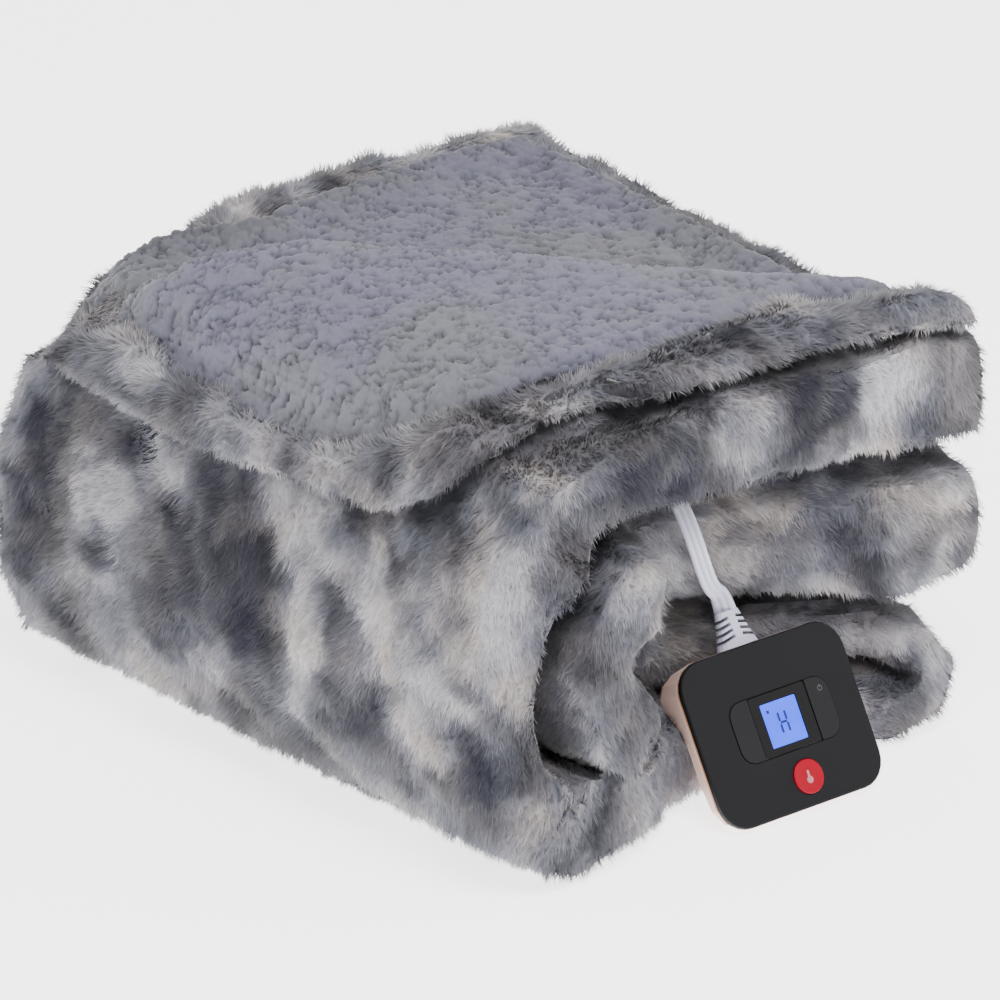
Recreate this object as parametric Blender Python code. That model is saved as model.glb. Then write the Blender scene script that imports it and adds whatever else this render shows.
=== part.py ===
"""Electric heated blanket: a faux-fur throw with a sherpa lining, folded, with its hand controller.

Frame: metres, +Z up, floor at z = 0. The rolls of the folded strip face -Y, the smooth wrapped
side faces -X, and the turned-back corner lies on top. The origin is the middle of the footprint.
"""
import math

import bmesh
import bpy
from mathutils import Matrix, Vector

# ---- the folded throw -------------------------------------------------------------------------
# The throw is folded in half with the lining inside, in half again, and the four-ply strip is
# then wound: top run, wrap down the left, bottom run, back above it, and once more above that.
# A row for each section along the strip. "out" is the fur side of the outermost ply, "in" the
# fur side of the innermost one, and front and back are where the section ends in Y.
SECTION_COLUMNS = ("x_out", "z_out", "x_in", "z_in", "y_front", "y_back")
SECTIONS = (
    (0.157, 0.203, 0.157, 0.145, -0.205, 0.163),  # free end of the top run
    (0.105, 0.215, 0.105, 0.152, -0.210, 0.165),
    (0.030, 0.221, 0.030, 0.162, -0.213, 0.166),
    (-0.050, 0.222, -0.050, 0.172, -0.210, 0.166),
    (-0.105, 0.220, -0.105, 0.178, -0.207, 0.166),
    (-0.150, 0.206, -0.128, 0.170, -0.204, 0.170),  # over the left edge
    (-0.180, 0.168, -0.145, 0.150, -0.203, 0.182),
    (-0.188, 0.112, -0.149, 0.110, -0.206, 0.195),
    (-0.183, 0.055, -0.146, 0.068, -0.208, 0.197),
    (-0.165, 0.018, -0.132, 0.046, -0.208, 0.193),
    (-0.130, 0.000, -0.108, 0.039, -0.207, 0.190),
    (-0.060, 0.000, -0.060, 0.036, -0.206, 0.190),  # bottom run
    (0.030, 0.000, 0.030, 0.034, -0.202, 0.190),
    (0.098, 0.000, 0.098, 0.031, -0.206, 0.188),
    (0.133, 0.010, 0.1090, 0.0315, -0.206, 0.186),  # right bend
    (0.143, 0.035, 0.1108, 0.0333, -0.205, 0.184),
    (0.128, 0.060, 0.1090, 0.0350, -0.204, 0.182),
    (0.095, 0.067, 0.098, 0.0355, -0.202, 0.180),  # third roll
    (0.030, 0.073, 0.030, 0.0390, -0.195, 0.180),
    (-0.050, 0.097, -0.050, 0.0410, -0.190, 0.180),
    (-0.088, 0.106, -0.095, 0.0440, -0.200, 0.180),
    (-0.0955, 0.1085, -0.134, 0.075, -0.201, 0.180),  # inner left bend
    (-0.0970, 0.1105, -0.141, 0.110, -0.201, 0.181),
    (-0.0955, 0.1125, -0.133, 0.146, -0.202, 0.182),
    (-0.088, 0.114, -0.100, 0.1715, -0.204, 0.184),
    (-0.050, 0.101, -0.050, 0.1655, -0.206, 0.185),  # second roll
    (0.030, 0.078, 0.030, 0.1555, -0.209, 0.186),
    (0.100, 0.073, 0.100, 0.1452, -0.210, 0.184),
    (0.150, 0.076, 0.150, 0.1390, -0.206, 0.182),
)
# How the fold lies out of square: its box before, and how far the box's corners move in X, Y and
# Z. Keys: right or left (1, 0), back or front, top or base.
FOLD_BOX = ((-0.197, -0.236, 0.0), (0.153, 0.174, 0.222))
CORNER_SHIFTS = {
    (0, 0, 0): (-0.011, -0.008, 0.0),
    (0, 0, 1): (0.004, 0.002, 0.010),
    (0, 1, 0): (-0.018, -0.018, 0.0),
    (0, 1, 1): (0.009, -0.002, 0.009),
    (1, 0, 0): (-0.005, -0.012, 0.0),
    (1, 0, 1): (0.000, 0.006, 0.010),
    (1, 1, 0): (-0.003, -0.004, 0.0),
    (1, 1, 1): (0.018, -0.003, 0.025),
}
HALF_STEP_ROWS = ((11, 12), (16, 17))  # these have a section between each two rows
OVER_THE_EDGE_ROW = 4  # from this row on the top run turns down the left side
LAST_OUTSIDE_ROW = 9  # the last row of the smooth left side
PLY_GAP = 0.0012
END_ROUNDING = 0.004  # how far the hems at the strip's two ends are rounded off
PLY_CRUSH = 0.3  # how much of a ply's half thickness the rounded ends lose
TOP_RUN_FADE = 1.5  # rows over which the top run's uncovered lower ply closes again
RIDGE_SETBACK = 0.002  # the cut-back upper ply ends this far behind the ridge
SHORTEST_PLY = 0.004

# Soft troughs down the left side. Columns: where in Y, depth, width and slant.
TROUGHS = (
    (0.150, 0.0030, 0.014, 0.10),
    (0.085, 0.0050, 0.013, -0.15),
    (0.030, 0.0030, 0.016, 0.05),
    (-0.033, 0.0055, 0.012, 0.12),
    (-0.105, 0.0035, 0.016, -0.10),
)
ROLL_LUMP = 0.0035  # how far the rolls' ends swell in and out
ROLL_LUMP_LENGTH = 0.075
# Where the controller and its lead press the rolls in. Columns: first and last row of the roll,
# depth, and the dent's middle, half length and end slope in X.
DENTS = (
    (11, 15, 0.019, 0.010, 0.070, 0.035),
    (16, 22, 0.045, 0.010, 0.074, 0.030),
    (24, 28, 0.040, -0.008, 0.034, 0.040),
)

# The turned-back corner, in u, the way along the top run's surface, which goes on down the left
# side past x = -0.105, and y.
RIDGE = (
    (-0.172, 0.128),
    (-0.128, 0.090),
    (-0.087, 0.058),
    (-0.026, -0.022),
    (0.035, -0.103),
    (0.088, -0.148),
    (0.148, -0.170),
)
FREE_EDGE = (
    (-0.198, 0.160),
    (-0.204, 0.060),
    (-0.200, -0.040),
    (-0.190, -0.128),  # the corner
    (-0.140, -0.168),
    (-0.050, -0.187),
    (0.034, -0.192),
    (0.100, -0.198),
    (0.152, -0.197),
)
CORNER_SHARE = 0.42  # the share of the rows before the corner
FLAP_ROWS = 18
FLAP_LIFT = 0.0022  # the corner clears the cloth under it
CREASE_U = -0.128  # the crease across the front hem
CREASE_WIDTH = 0.012
CREASE_SHIFT = 0.008  # how far the crease draws the hem in
CREASE_FLATTENING = 0.75
HEM = 0.037
# Across the turned-back corner. Columns: distance from its free edge, height of its top and of
# its underside.
FLAP_PROFILE = (
    (0.0000, 0.0085, 0.0060),
    (0.0025, 0.0145, FLAP_LIFT),
    (0.0090, 0.0190, FLAP_LIFT),
    (0.0200, 0.0205, FLAP_LIFT),
    (0.0300, 0.0180, FLAP_LIFT),
    (HEM, 0.0130, FLAP_LIFT),
    (0.0405, 0.0085, FLAP_LIFT),
)
FLAP_TOP = 0.0085
SHORTEST_FULL_ROW = 0.062  # shorter rows have a narrower hem
# Columns: distance past the ridge, height of the top and of the underside.
RIDGE_PROFILE = ((-0.008, FLAP_TOP, -0.004), (0.000, 0.0075, -0.0065), (0.005, 0.0040, -0.0085))
RIDGE_NOSE = (0.0075, -0.003)
RIDGE_BACK_SLOPE = 0.010

# The far hems of the lower ply, which stand a little above the lining.
FAR_HEM = 0.035
FAR_HEM_CREST = 0.0110
FAR_HEM_SLOPE = 0.004
CREST_RISE = 0.045  # how far behind the upper ply's end the hem reaches its full height
LINING_RECESS = 0.0050
RECESS_START = 0.009  # from the upper ply's end to the recess
RECESS_SLOPE = 0.012
SHORTEST_RECESS = 0.008
HEM_CREST_SECTION = -0.030  # the section that carries the crest of the hem at the strip's end
TOP_END_X = 0.157

# The sherpa lining that shows.
LINING = 0.0055
LINING_GAP = 0.0012
LINING_ROWS = (0.15, 0.90, 15)  # first and last place along the ridge, and rows between
LINING_EDGE_GAP = 0.0025
SHORTEST_FULL_REACH = 0.05  # closer to the far hems the drape over the ridge is narrower
# The lining's drape over the ridge. Columns: distance past it, height, and share of the drop to
# the lower ply.
DRAPE = ((0.002, FLAP_TOP, 0.0), (0.010, 0.0035, 0.0), (0.014, 0.0, 0.6), (0.019, 0.0, 1.0))

# ---- the controller ---------------------------------------------------------------------------
# Its own frame: X along the top edge, Y up the face, Z out of the face, origin mid-face.
PLATE_W = 0.1064
PLATE_H = 0.0900
PLATE_T = 0.0030
PLATE_R = 0.0160
PLATE_EDGE = 0.0006
PLATE_MIDDLE = (0.0071, -0.2121)
PLATE_YAW = math.radians(-4.0)
PLATE_LEAN = math.radians(31.6)
FLOOR_GAP = 0.0002
SEAT = 0.0003
# Down the housing's back. Columns: share of the height from the top, depth behind the plate.
HOUSING_DEPTHS = (
    (0.00, 0.010),
    (0.03, 0.018),
    (0.08, 0.0245),
    (0.15, 0.0280),
    (0.22, 0.0265),
    (0.29, 0.0200),
    (0.36, 0.0150),
    (0.45, 0.0132),
    (0.70, 0.0128),
    (0.84, 0.0100),
    (0.93, 0.0065),
    (1.00, 0.0035),
)
HOUSING_SIDE = 0.0060  # rounding of the housing's sides
HOUSING_WALL = 0.0022  # the straight part of its side next to the plate

GROUP_MIDDLE = (0.0024, 0.0018)
GROUP_W = 0.0654
GROUP_H = 0.0333
GROUP_R = 0.0085
POCKET_DEPTH = 0.0018
CUT_TOP = 0.002  # how far a cutter stands out of the face
KEY_W = 0.0138
KEY_PROUD = 0.0004
KEY_GAP = 0.0004
KEY_TRAVEL = 0.0008
WINDOW_PROUD = 0.0002
SCREEN_W = 0.0237
SCREEN_H = 0.0240
SCREEN_SINK = 0.0009
SCREEN_MIDDLE = (-0.0007, -0.0006)  # from the middle of the group
BUTTON_MIDDLE = (0.0051, -0.0295)
BUTTON_R = 0.0092
BUTTON_PROUD = 0.0010
BUTTON_GAP = 0.0004
BUTTON_TRAVEL = 0.0008

RELIEF_X = -0.0030
RELIEF_DEPTH = 0.0110  # its middle behind the face
RELIEF_LENGTH = 0.0190
RELIEF_BASE = (0.0240, 0.0110)  # width and thickness at the housing
RELIEF_TIP = (0.0135, 0.0070)
RELIEF_SLOTS = 4
RELIEF_SLOT = 0.0017
RELIEF_SLOT_SPAN = (0.18, 0.70)  # where the first and the last slot lie, as shares of its length
RELIEF_SPINE = 0.0042

# ---- the lead -----------------------------------------------------------------------------------
LEAD_THICKNESS = 0.0046
LEAD_SPACING_OUTSIDE = 0.0060
LEAD_SPACING_INSIDE = 0.0165
FOLD_MOUTH_Y = -0.150
LEAD_GAP = 0.0006
LEAD_STRAIGHT = 0.0065  # how far it goes straight on out of the strain relief
# From the strain relief up over the second roll, into the fold above it, and to and fro there.
LEAD_OUTSIDE = (
    (0.0040, -0.1680, 0.1015),
    (-0.0040, -0.1738, 0.1078),
    (-0.0138, -0.1800, 0.1145),
    (-0.0229, -0.1835, 0.1310),
    (-0.0309, -0.1855, 0.1494),
    (-0.0310, -0.1790, 0.1630),
    (-0.0290, -0.1670, 0.1720),
)
LEAD_INSIDE_XY = (
    (-0.0290, -0.150),
    (-0.0350, -0.120),
    (-0.0360, -0.020),
    (-0.0360, 0.090),
    (-0.0220, 0.124),
    (0.0040, 0.136),
    (0.0300, 0.124),
    (0.0440, 0.090),
    (0.0440, -0.020),
    (0.0440, -0.120),
    (0.0580, -0.148),
    (0.0810, -0.160),
    (0.1040, -0.148),
    (0.1180, -0.120),
    (0.1180, -0.020),
    (0.1180, 0.070),
)

COLOURS = {
    "fur": (0.40, 0.40, 0.43, 0.95, 0.0),
    "sherpa": (0.52, 0.52, 0.56, 1.0, 0.0),
    "rose_shell": (0.84, 0.66, 0.58, 0.35, 0.25),
    "black_plate": (0.020, 0.020, 0.023, 0.38, 0.0),
    "black_gloss": (0.008, 0.008, 0.010, 0.12, 0.0),
    "blue_screen": (0.07, 0.23, 0.95, 0.30, 0.0),
    "red_button": (0.62, 0.015, 0.045, 0.35, 0.0),
    "grey_rubber": (0.62, 0.63, 0.70, 0.55, 0.0),
}


# ---- small helpers ------------------------------------------------------------------------------
def material(name):
    """A Principled material of the part's colour, roughness and metallic value."""
    found = bpy.data.materials.get(name)
    if found:
        return found
    red, green, blue, roughness, metallic = COLOURS[name]
    made = bpy.data.materials.new(name)
    made.use_nodes = True
    shader = made.node_tree.nodes["Principled BSDF"]
    shader.inputs["Base Color"].default_value = (red, green, blue, 1.0)
    shader.inputs["Roughness"].default_value = roughness
    shader.inputs["Metallic"].default_value = metallic
    return made


def add_object(name, bm, look, smooth_angle=40.0):
    """A named object of the bmesh, its faces turned outwards."""
    bmesh.ops.recalc_face_normals(bm, faces=bm.faces)
    mesh = bpy.data.meshes.new(name)
    bm.to_mesh(mesh)
    bm.free()
    mesh.shade_smooth()
    mesh.set_sharp_from_angle(angle=math.radians(smooth_angle))
    mesh.materials.append(material(look))
    made = bpy.data.objects.new(name, mesh)
    bpy.context.scene.collection.objects.link(made)
    return made


def boolean(target, other, operation):
    """Joins or cuts target with other, applies it and removes other."""
    modifier = target.modifiers.new("boolean", "BOOLEAN")
    modifier.operation = operation
    modifier.solver = "EXACT"
    modifier.object = other
    graph = bpy.context.evaluated_depsgraph_get()
    mesh = bpy.data.meshes.new_from_object(target.evaluated_get(graph))
    target.modifiers.clear()
    old = target.data
    target.data = mesh
    bpy.data.meshes.remove(old)
    bpy.data.objects.remove(other)


def curve_point(points, place):
    """The point at a place, 0 to len - 1, on the smooth curve through these points."""
    last = len(points) - 1
    low = min(int(place), last - 1)
    t = place - low
    before = points[max(low - 1, 0)]
    after = points[min(low + 2, last)]
    return tuple(
        0.5 * (2 * b + (c - a) * t + (2 * a - 5 * b + 4 * c - d) * t**2 + (3 * b - a - 3 * c + d) * t**3)
        for a, b, c, d in zip(before, points[low], points[low + 1], after)
    )


def straight_point(rows, place):
    """Straight interpolation in rows whose first value is the place."""
    for (a, *before), (b, *after) in zip(rows, rows[1:]):
        if place <= b:
            share = max((place - a) / (b - a), 0.0)
            return [x + (y - x) * share for x, y in zip(before, after)]
    return list(rows[-1][1:])


def smooth_step(value):
    value = min(max(value, 0.0), 1.0)
    return value * value * (3 - 2 * value)


def settled(point):
    """Where a point of the square fold comes to lie."""
    low, high = FOLD_BOX
    shares = [(value - a) / (b - a) for value, a, b in zip(point, low, high)]
    moved = Vector(point)
    for corner, shift in CORNER_SHIFTS.items():
        weight = math.prod(share if side else 1 - share for side, share in zip(corner, shares))
        moved += Vector(shift) * weight
    return moved


# ---- the strip ------------------------------------------------------------------------------------
def strip_row(place):
    """The section of the strip at a place counted in rows, as a dict."""
    row = dict(zip(SECTION_COLUMNS, curve_point(SECTIONS, place)))
    row["z_out"] = max(row["z_out"], 0.0)
    row["place"] = place
    return row


def top_walk():
    """(u, place) down the top run and the left side, finely stepped."""
    steps = 40
    walk = []
    travelled = 0.0
    before = None
    for k in range(LAST_OUTSIDE_ROW * steps + 1):
        row = strip_row(k / steps)
        here = (row["x_out"], row["z_out"])
        if k / steps <= OVER_THE_EDGE_ROW:
            u = here[0]
        else:
            travelled += math.dist(before, here)
            u = SECTIONS[OVER_THE_EDGE_ROW][0] - travelled
        walk.append((-u, k / steps))
        before = here
    return walk


TOP_WALK = top_walk()


def on_top(u, y, height):
    """The point above the top run's or left side's surface at u and y."""
    row = strip_row(straight_point(TOP_WALK, -u)[0])
    out = Vector((row["x_out"], 0.0, row["z_out"]))
    across = out - Vector((row["x_in"], 0.0, row["z_in"]))
    point = out + across.normalized() * height
    point.y = y
    return point


def ply_levels(thick):
    """How far the plies' eight surfaces lie across a section, as shares of its thickness."""
    gap = PLY_GAP / thick
    ply = (1 - 3 * gap) / 4
    return [k * (ply + gap) + side * ply for k in range(4) for side in (0, 1)], ply


def ridge_y(u):
    """Where the ridge of the turned-back corner crosses the section at u."""
    rows = [(-1.0, RIDGE[0][1])]
    rows += [curve_point(RIDGE, k / 6) for k in range(6 * (len(RIDGE) - 1) + 1)]
    return straight_point(rows + [(1.0, RIDGE[-1][1])], u)[0]


def far_hem_height(x, y, back):
    """The lower ply's surface above or below its plain level: hem or recess for the lining."""
    inside = min(back - y, TOP_END_X - x)
    raised = 1 - smooth_step((inside - FAR_HEM + FAR_HEM_SLOPE) / FAR_HEM_SLOPE)
    crest = math.sin(math.pi * min(max(inside / FAR_HEM, 0.0), 1.0)) ** 0.5
    return raised * FAR_HEM_CREST * crest - (1 - raised) * LINING_RECESS


def trough_middle(centre, slant, row):
    return centre + slant * (row["z_out"] - 0.11)


def left_side_share(row):
    """1 on the left side, fading to 0 on the top and the bottom run."""
    start = smooth_step((row["place"] - OVER_THE_EDGE_ROW) / 2)
    return start * (1 - smooth_step((row["place"] - LAST_OUTSIDE_ROW + 1) / 1.5))


def outside_relief(y, row):
    """How far the fur surface swells out on the left side, in metres."""
    swell = 0.0015 * math.sin(y * 47 + 2.2 * row["place"]) + 0.0015
    for centre, depth, width, slant in TROUGHS:
        middle = trough_middle(centre, slant, row)
        swell -= depth * math.exp(-(((y - middle) / width) ** 2))
    return swell * left_side_share(row)


def outside_places(start, end, row):
    """Y places across the outer surface: even ones on the runs, the troughs on the left side."""
    stops = [start] + [trough_middle(centre, slant, row) for centre, _, _, slant in TROUGHS] + [end]
    places = []
    for one, two in zip(stops, stops[1:]):
        places += [one, (one + two) / 2]
    share = left_side_share(row)
    count = len(places)
    even = [start + (end - start) * k / count for k in range(count)]
    return [a * share + b * (1 - share) for a, b in zip(places, even)]


def controller_dent(row):
    """How far the controller presses this section's front in."""
    for first, last, depth, middle, half_length, slope in DENTS:
        if first <= row["place"] <= last:
            past = abs(row["x_in"] - middle) - half_length
            return depth * (1 - smooth_step(past / slope))
    return 0.0


def front_swell(row, level):
    """How far a roll's rounded end stands out at this height of it, in metres."""
    wave = math.sin(2 * math.pi * row["x_in"] / ROLL_LUMP_LENGTH + 1.7 * row["place"] + 2.5 * level)
    return ROLL_LUMP * wave if controller_dent(row) == 0.0 else 0.0


def strip_section(row, closing=0.0):
    """The closed outline of the four nested plies, as (y, share across, swell out in metres).

    closing, 0 to 1, thins the plies towards their middles for the rounded ends of the strip.
    """
    thick = math.dist((row["x_out"], row["z_out"]), (row["x_in"], row["z_in"]))
    level, ply = ply_levels(thick)
    thin = closing * ply * PLY_CRUSH
    level = [a + (thin if k % 2 == 0 else -thin) for k, a in enumerate(level)]
    place = row["place"]
    on_top_run = place <= OVER_THE_EDGE_ROW + TOP_RUN_FADE
    bend = thick / 2
    front = row["y_front"] + bend + closing * END_ROUNDING * 0.5 + controller_dent(row)
    back = row["y_back"] - closing * END_ROUNDING * 0.5
    cap = ply * thick / 2
    ridge = ridge_y(row["x_out"]) if on_top_run else back
    open_share = smooth_step(OVER_THE_EDGE_ROW + TOP_RUN_FADE - place) if on_top_run else 0.0
    cut_back = min(back, max(ridge + RIDGE_SETBACK, front + cap + SHORTEST_PLY))
    first_end = cut_back * open_share + back * (1 - open_share)
    outline = []

    def line(start, end, count, share):
        """Points from start up to, but not at, end; the first is left to the bend before it."""
        for k in range(1, count):
            outline.append((start + (end - start) * k / count, share, 0.0))

    def front_arc(share, count, backwards):
        half = 0.5 - share
        reach = bend * half / 0.5
        for k in range(count + 1):
            angle = math.pi * (k / count - 0.5) * (-1 if backwards else 1)
            swell = front_swell(row, math.sin(angle)) * half / 0.5 * math.cos(angle)
            y = front - (reach + swell) * math.cos(angle)
            outline.append((y, 0.5 + half * math.sin(angle), 0.0))

    # outer surface, round the front bend, and back along the underside of the section
    for y in outside_places(first_end - cap, front, row):
        fade = smooth_step((y - front) / 0.03) * smooth_step((back - y) / 0.02)
        outline.append((y, level[0], outside_relief(y, row) * fade))
    front_arc(level[0], 6, False)
    half = (level[7] - level[4]) / 2
    bottom_end = back - half * thick
    line(front, bottom_end, 3, level[7])
    for k in range(5):  # the bend that joins the two lower plies
        angle = math.pi * (0.5 - k / 4)
        y = bottom_end + half * thick * math.cos(angle)
        outline.append((y, level[4] + half + half * math.sin(angle), 0.0))
    # along the inner ply: its underside, the inner bend and its upper half's underside
    line(bottom_end, front, 1, level[4])
    front_arc(level[3], 2, True)
    line(front, back - cap, 1, level[3])
    # the rounded free end of the inner ply
    outline.append((back - cap, level[3], 0.0))
    outline.append((back, (level[2] + level[3]) / 2, 0.0))
    # its upper surface, with the lining's recess and the hem where it is uncovered
    uncovered = smooth_step(OVER_THE_EDGE_ROW + 0.5 - place) if first_end < back - FAR_HEM else 0.0
    hem_inside = back - FAR_HEM
    bare_from = min(first_end + RECESS_START, hem_inside - SHORTEST_RECESS)
    bare = (hem_inside - bare_from) / 3
    bare_places = [back - cap, back - FAR_HEM / 2, hem_inside + FAR_HEM_SLOPE, hem_inside - 0.0015]
    bare_places += [bare_from + 2 * bare, bare_from + bare, bare_from]
    for y in bare_places:
        height = far_hem_height(row["x_out"], y, back)
        if height > 0:
            height *= smooth_step((y - first_end) / CREST_RISE)
        outline.append((y, level[2], height * uncovered))
    hidden_from = max(min(first_end - RECESS_SLOPE, bare_from - FAR_HEM_SLOPE), front + 0.003)
    outline.append((hidden_from, level[2], 0.0))
    line(hidden_from, front, 1, level[2])
    front_arc(level[2], 4, False)
    line(front, bottom_end, 1, level[5])
    # the crease inside the bend of the two lower plies
    outline.append((bottom_end, level[5], 0.0))
    outline.append((bottom_end + 0.0008, (level[5] + level[6]) / 2, 0.0))
    outline.append((bottom_end, level[6], 0.0))
    line(bottom_end, front, 1, level[6])
    front_arc(level[1], 4, True)
    line(front, first_end - cap, 1, level[1])
    outline.append((first_end - cap, level[1], 0.0))
    outline.append((first_end, (level[0] + level[1]) / 2, 0.0))
    return outline, thick


def strip_ring(row, closing=0.0):
    """The section's outline as points in space."""
    outline, thick = strip_section(row, closing)
    out = Vector((row["x_out"], 0.0, row["z_out"]))
    across = Vector((row["x_in"], 0.0, row["z_in"])) - out
    ring = []
    for y, share, swell in outline:
        point = out + across * (share - swell / thick)
        point.y = y
        ring.append(point)
    return ring


def folded_strip():
    """The whole strip as a bmesh: rings joined along it and closed at its two free ends."""
    places = list(range(len(SECTIONS)))
    places += [k + 0.5 for first, last in HALF_STEP_ROWS for k in range(first, last)]
    hem_u = [FAR_HEM - TOP_END_X + d for d in (-FAR_HEM_SLOPE, 0.0, HEM_CREST_SECTION)]
    hem_places = [straight_point(TOP_WALK, u)[0] for u in hem_u]
    places = sorted(places + hem_places)
    rings = [strip_ring(strip_row(place)) for place in places]
    for end, neighbour in ((0, 1), (-1, -2)):
        row = strip_row(places[end])
        outward = Vector((END_ROUNDING, 0.0, 0.0))
        ring = [point + outward for point in strip_ring(row, 1.0)]
        rings.insert(0 if end == 0 else len(rings), ring)
    bm = bmesh.new()
    loops = [[bm.verts.new(point) for point in ring] for ring in rings]
    size = len(loops[0])
    for first, second in zip(loops, loops[1:]):
        for k in range(size):
            after = (k + 1) % size
            bm.faces.new((first[k], first[after], second[after], second[k]))
    for loop in (loops[0], loops[-1]):
        cap = bm.faces.new(loop)
        cap.normal_update()
        bmesh.ops.triangulate(bm, faces=[cap])
    return bm


# ---- the turned-back corner ---------------------------------------------------------------------
def free_edge_place(share):
    """The place along FREE_EDGE of a row, so that one row runs to the corner."""
    corner = 3
    if share <= CORNER_SHARE:
        return corner * share / CORNER_SHARE
    return corner + (len(FREE_EDGE) - 1 - corner) * (share - CORNER_SHARE) / (1 - CORNER_SHARE)


def flap_row(share):
    """A row's end on the ridge, its end on the free edge, and its length."""
    ridge = Vector(curve_point(RIDGE, share * (len(RIDGE) - 1)))
    edge = Vector(curve_point(FREE_EDGE, free_edge_place(share)))
    return ridge, edge, (edge - ridge).length


def crease_depth(share):
    """0 to 1 across the crease in the front hem."""
    _, edge, _ = flap_row(share)
    if share < CORNER_SHARE:
        return 0.0
    return math.exp(-(((edge.x - CREASE_U) / CREASE_WIDTH) ** 2))


def turned_corner():
    """The ply that is turned back on itself, hem and all, from its free edge to the ridge."""
    bm = bmesh.new()
    rings = []
    for k in range(FLAP_ROWS + 1):
        share = k / FLAP_ROWS
        ridge, edge, length = flap_row(share)
        along = (edge - ridge) / length
        squeeze = min(length / SHORTEST_FULL_ROW, 1.0)
        crease = crease_depth(share)
        end = min(k, FLAP_ROWS - k, 1)
        top = []
        under = []
        for distance, high, low in FLAP_PROFILE:
            at = edge - along * (distance * squeeze + CREASE_SHIFT * crease)
            if high > FLAP_TOP:
                high = FLAP_TOP + (high - FLAP_TOP) * (1 - CREASE_FLATTENING * crease)
            if end == 0:
                high = low + (high - low) * 0.5
            top.append(on_top(at.x, at.y, high))
            under.append(on_top(at.x, at.y, low))
        for part in (0.35, 0.7):
            inner = edge - along * (FLAP_PROFILE[-1][0] * squeeze + CREASE_SHIFT * crease)
            start = ridge + along * RIDGE_BACK_SLOPE * squeeze
            at = inner + (start - inner) * part
            top.append(on_top(at.x, at.y, FLAP_TOP))
            under.append(on_top(at.x, at.y, FLAP_LIFT))
        for beyond, high, low in RIDGE_PROFILE:
            at = ridge - along * beyond * squeeze
            top.append(on_top(at.x, at.y, high))
            under.append(on_top(at.x, at.y, low))
        at = ridge - along * RIDGE_NOSE[0] * squeeze
        rings.append(top + [on_top(at.x, at.y, RIDGE_NOSE[1])] + under[::-1])
    loops = [[bm.verts.new(point) for point in ring] for ring in rings]
    size = len(loops[0])
    for first, second in zip(loops, loops[1:]):
        for k in range(size):
            after = (k + 1) % size
            bm.faces.new((first[k], first[after], second[after], second[k]))
    for loop in (loops[0], loops[-1]):
        bm.faces.new(loop)
    return bm


def build_fur():
    strip = add_object("fur_throw", folded_strip(), "fur", 60.0)
    corner = add_object("turned_corner", turned_corner(), "fur", 60.0)
    boolean(strip, corner, "UNION")
    for vert in strip.data.vertices:
        vert.co = settled(vert.co)
    strip.data.shade_smooth()
    strip.data.set_sharp_from_angle(angle=math.radians(60.0))
    return strip


# ---- the lining -----------------------------------------------------------------------------------
def far_edge_point(share):
    """The lining's far edge inside the far hems, from the left end over the far corner."""
    inset = FAR_HEM + LINING_EDGE_GAP + 0.002
    y_far = SECTIONS[2][5] - inset
    x_far = TOP_END_X - inset
    corners = ((0.0, -0.112, y_far), (0.5, x_far, y_far), (1.0, x_far, -0.160))
    return Vector(straight_point(corners, share))


def lower_level(u):
    """The height of the lining's bed on the lower ply, from the top run's surface."""
    row = strip_row(straight_point(TOP_WALK, -u)[0])
    thick = math.dist((row["x_out"], row["z_out"]), (row["x_in"], row["z_in"]))
    level, _ = ply_levels(thick)
    uncovered = smooth_step(OVER_THE_EDGE_ROW + 0.5 - row["place"])
    return -level[2] * thick - LINING_RECESS * uncovered


def build_lining():
    """The sherpa that shows: on the turned-back corner, over its ridge and on the lower ply."""
    first, last, rows = LINING_ROWS
    beds = []
    for k in range(rows + 1):
        share = first + (last - first) * k / rows
        ridge, edge, length = flap_row(share)
        along = (edge - ridge) / length
        squeeze = min(length / SHORTEST_FULL_ROW, 1.0)
        from_edge = (FLAP_PROFILE[-1][0] + LINING_EDGE_GAP) * squeeze
        inner = edge - along * (from_edge + CREASE_SHIFT * crease_depth(share))
        start = ridge - along * RIDGE_PROFILE[0][0] * squeeze
        bed = []
        for part in (0.0, 0.35, 0.7, 1.0):
            at = inner + (start - inner) * part
            bed.append((at, FLAP_TOP))
        far = far_edge_point(share)
        away = (far - ridge).normalized()
        reach = (far - ridge).length
        tight = min(reach / SHORTEST_FULL_REACH, 1.0)
        low = lower_level((ridge + away * DRAPE[-1][0] * tight).x)
        for distance, high, low_share in DRAPE:
            bed.append((ridge + away * distance * tight, high + low * low_share))
        foot = bed[-1][0]
        for part in (0.3, 0.65, 1.0):
            at = foot + (far - foot) * part
            bed.append((at, lower_level(at.x)))
        beds.append(bed)
    bm = bmesh.new()
    loops = []
    for bed in beds:
        under = [on_top(at.x, at.y, height + LINING_GAP) for at, height in bed]
        top = [on_top(at.x, at.y, height + LINING_GAP + LINING) for at, height in bed]
        loops.append([bm.verts.new(settled(point)) for point in under + top[::-1]])
    size = len(loops[0])
    for one, two in zip(loops, loops[1:]):
        for k in range(size):
            after = (k + 1) % size
            bm.faces.new((one[k], one[after], two[after], two[k]))
    for loop in (loops[0], loops[-1]):
        bm.faces.new(loop)
    return add_object("sherpa_lining", bm, "sherpa", 60.0)


# ---- the controller -------------------------------------------------------------------------------
def controller_matrix():
    """From the controller's own frame to the part's, standing on the floor on its lowest edge."""
    turn = Matrix.Rotation(PLATE_YAW, 4, "Z") @ Matrix.Rotation(math.pi / 2 - PLATE_LEAN, 4, "X")
    lowest = min((turn @ point).z for point in housing_points())
    return Matrix.Translation((*PLATE_MIDDLE, FLOOR_GAP - lowest)) @ turn


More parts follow.
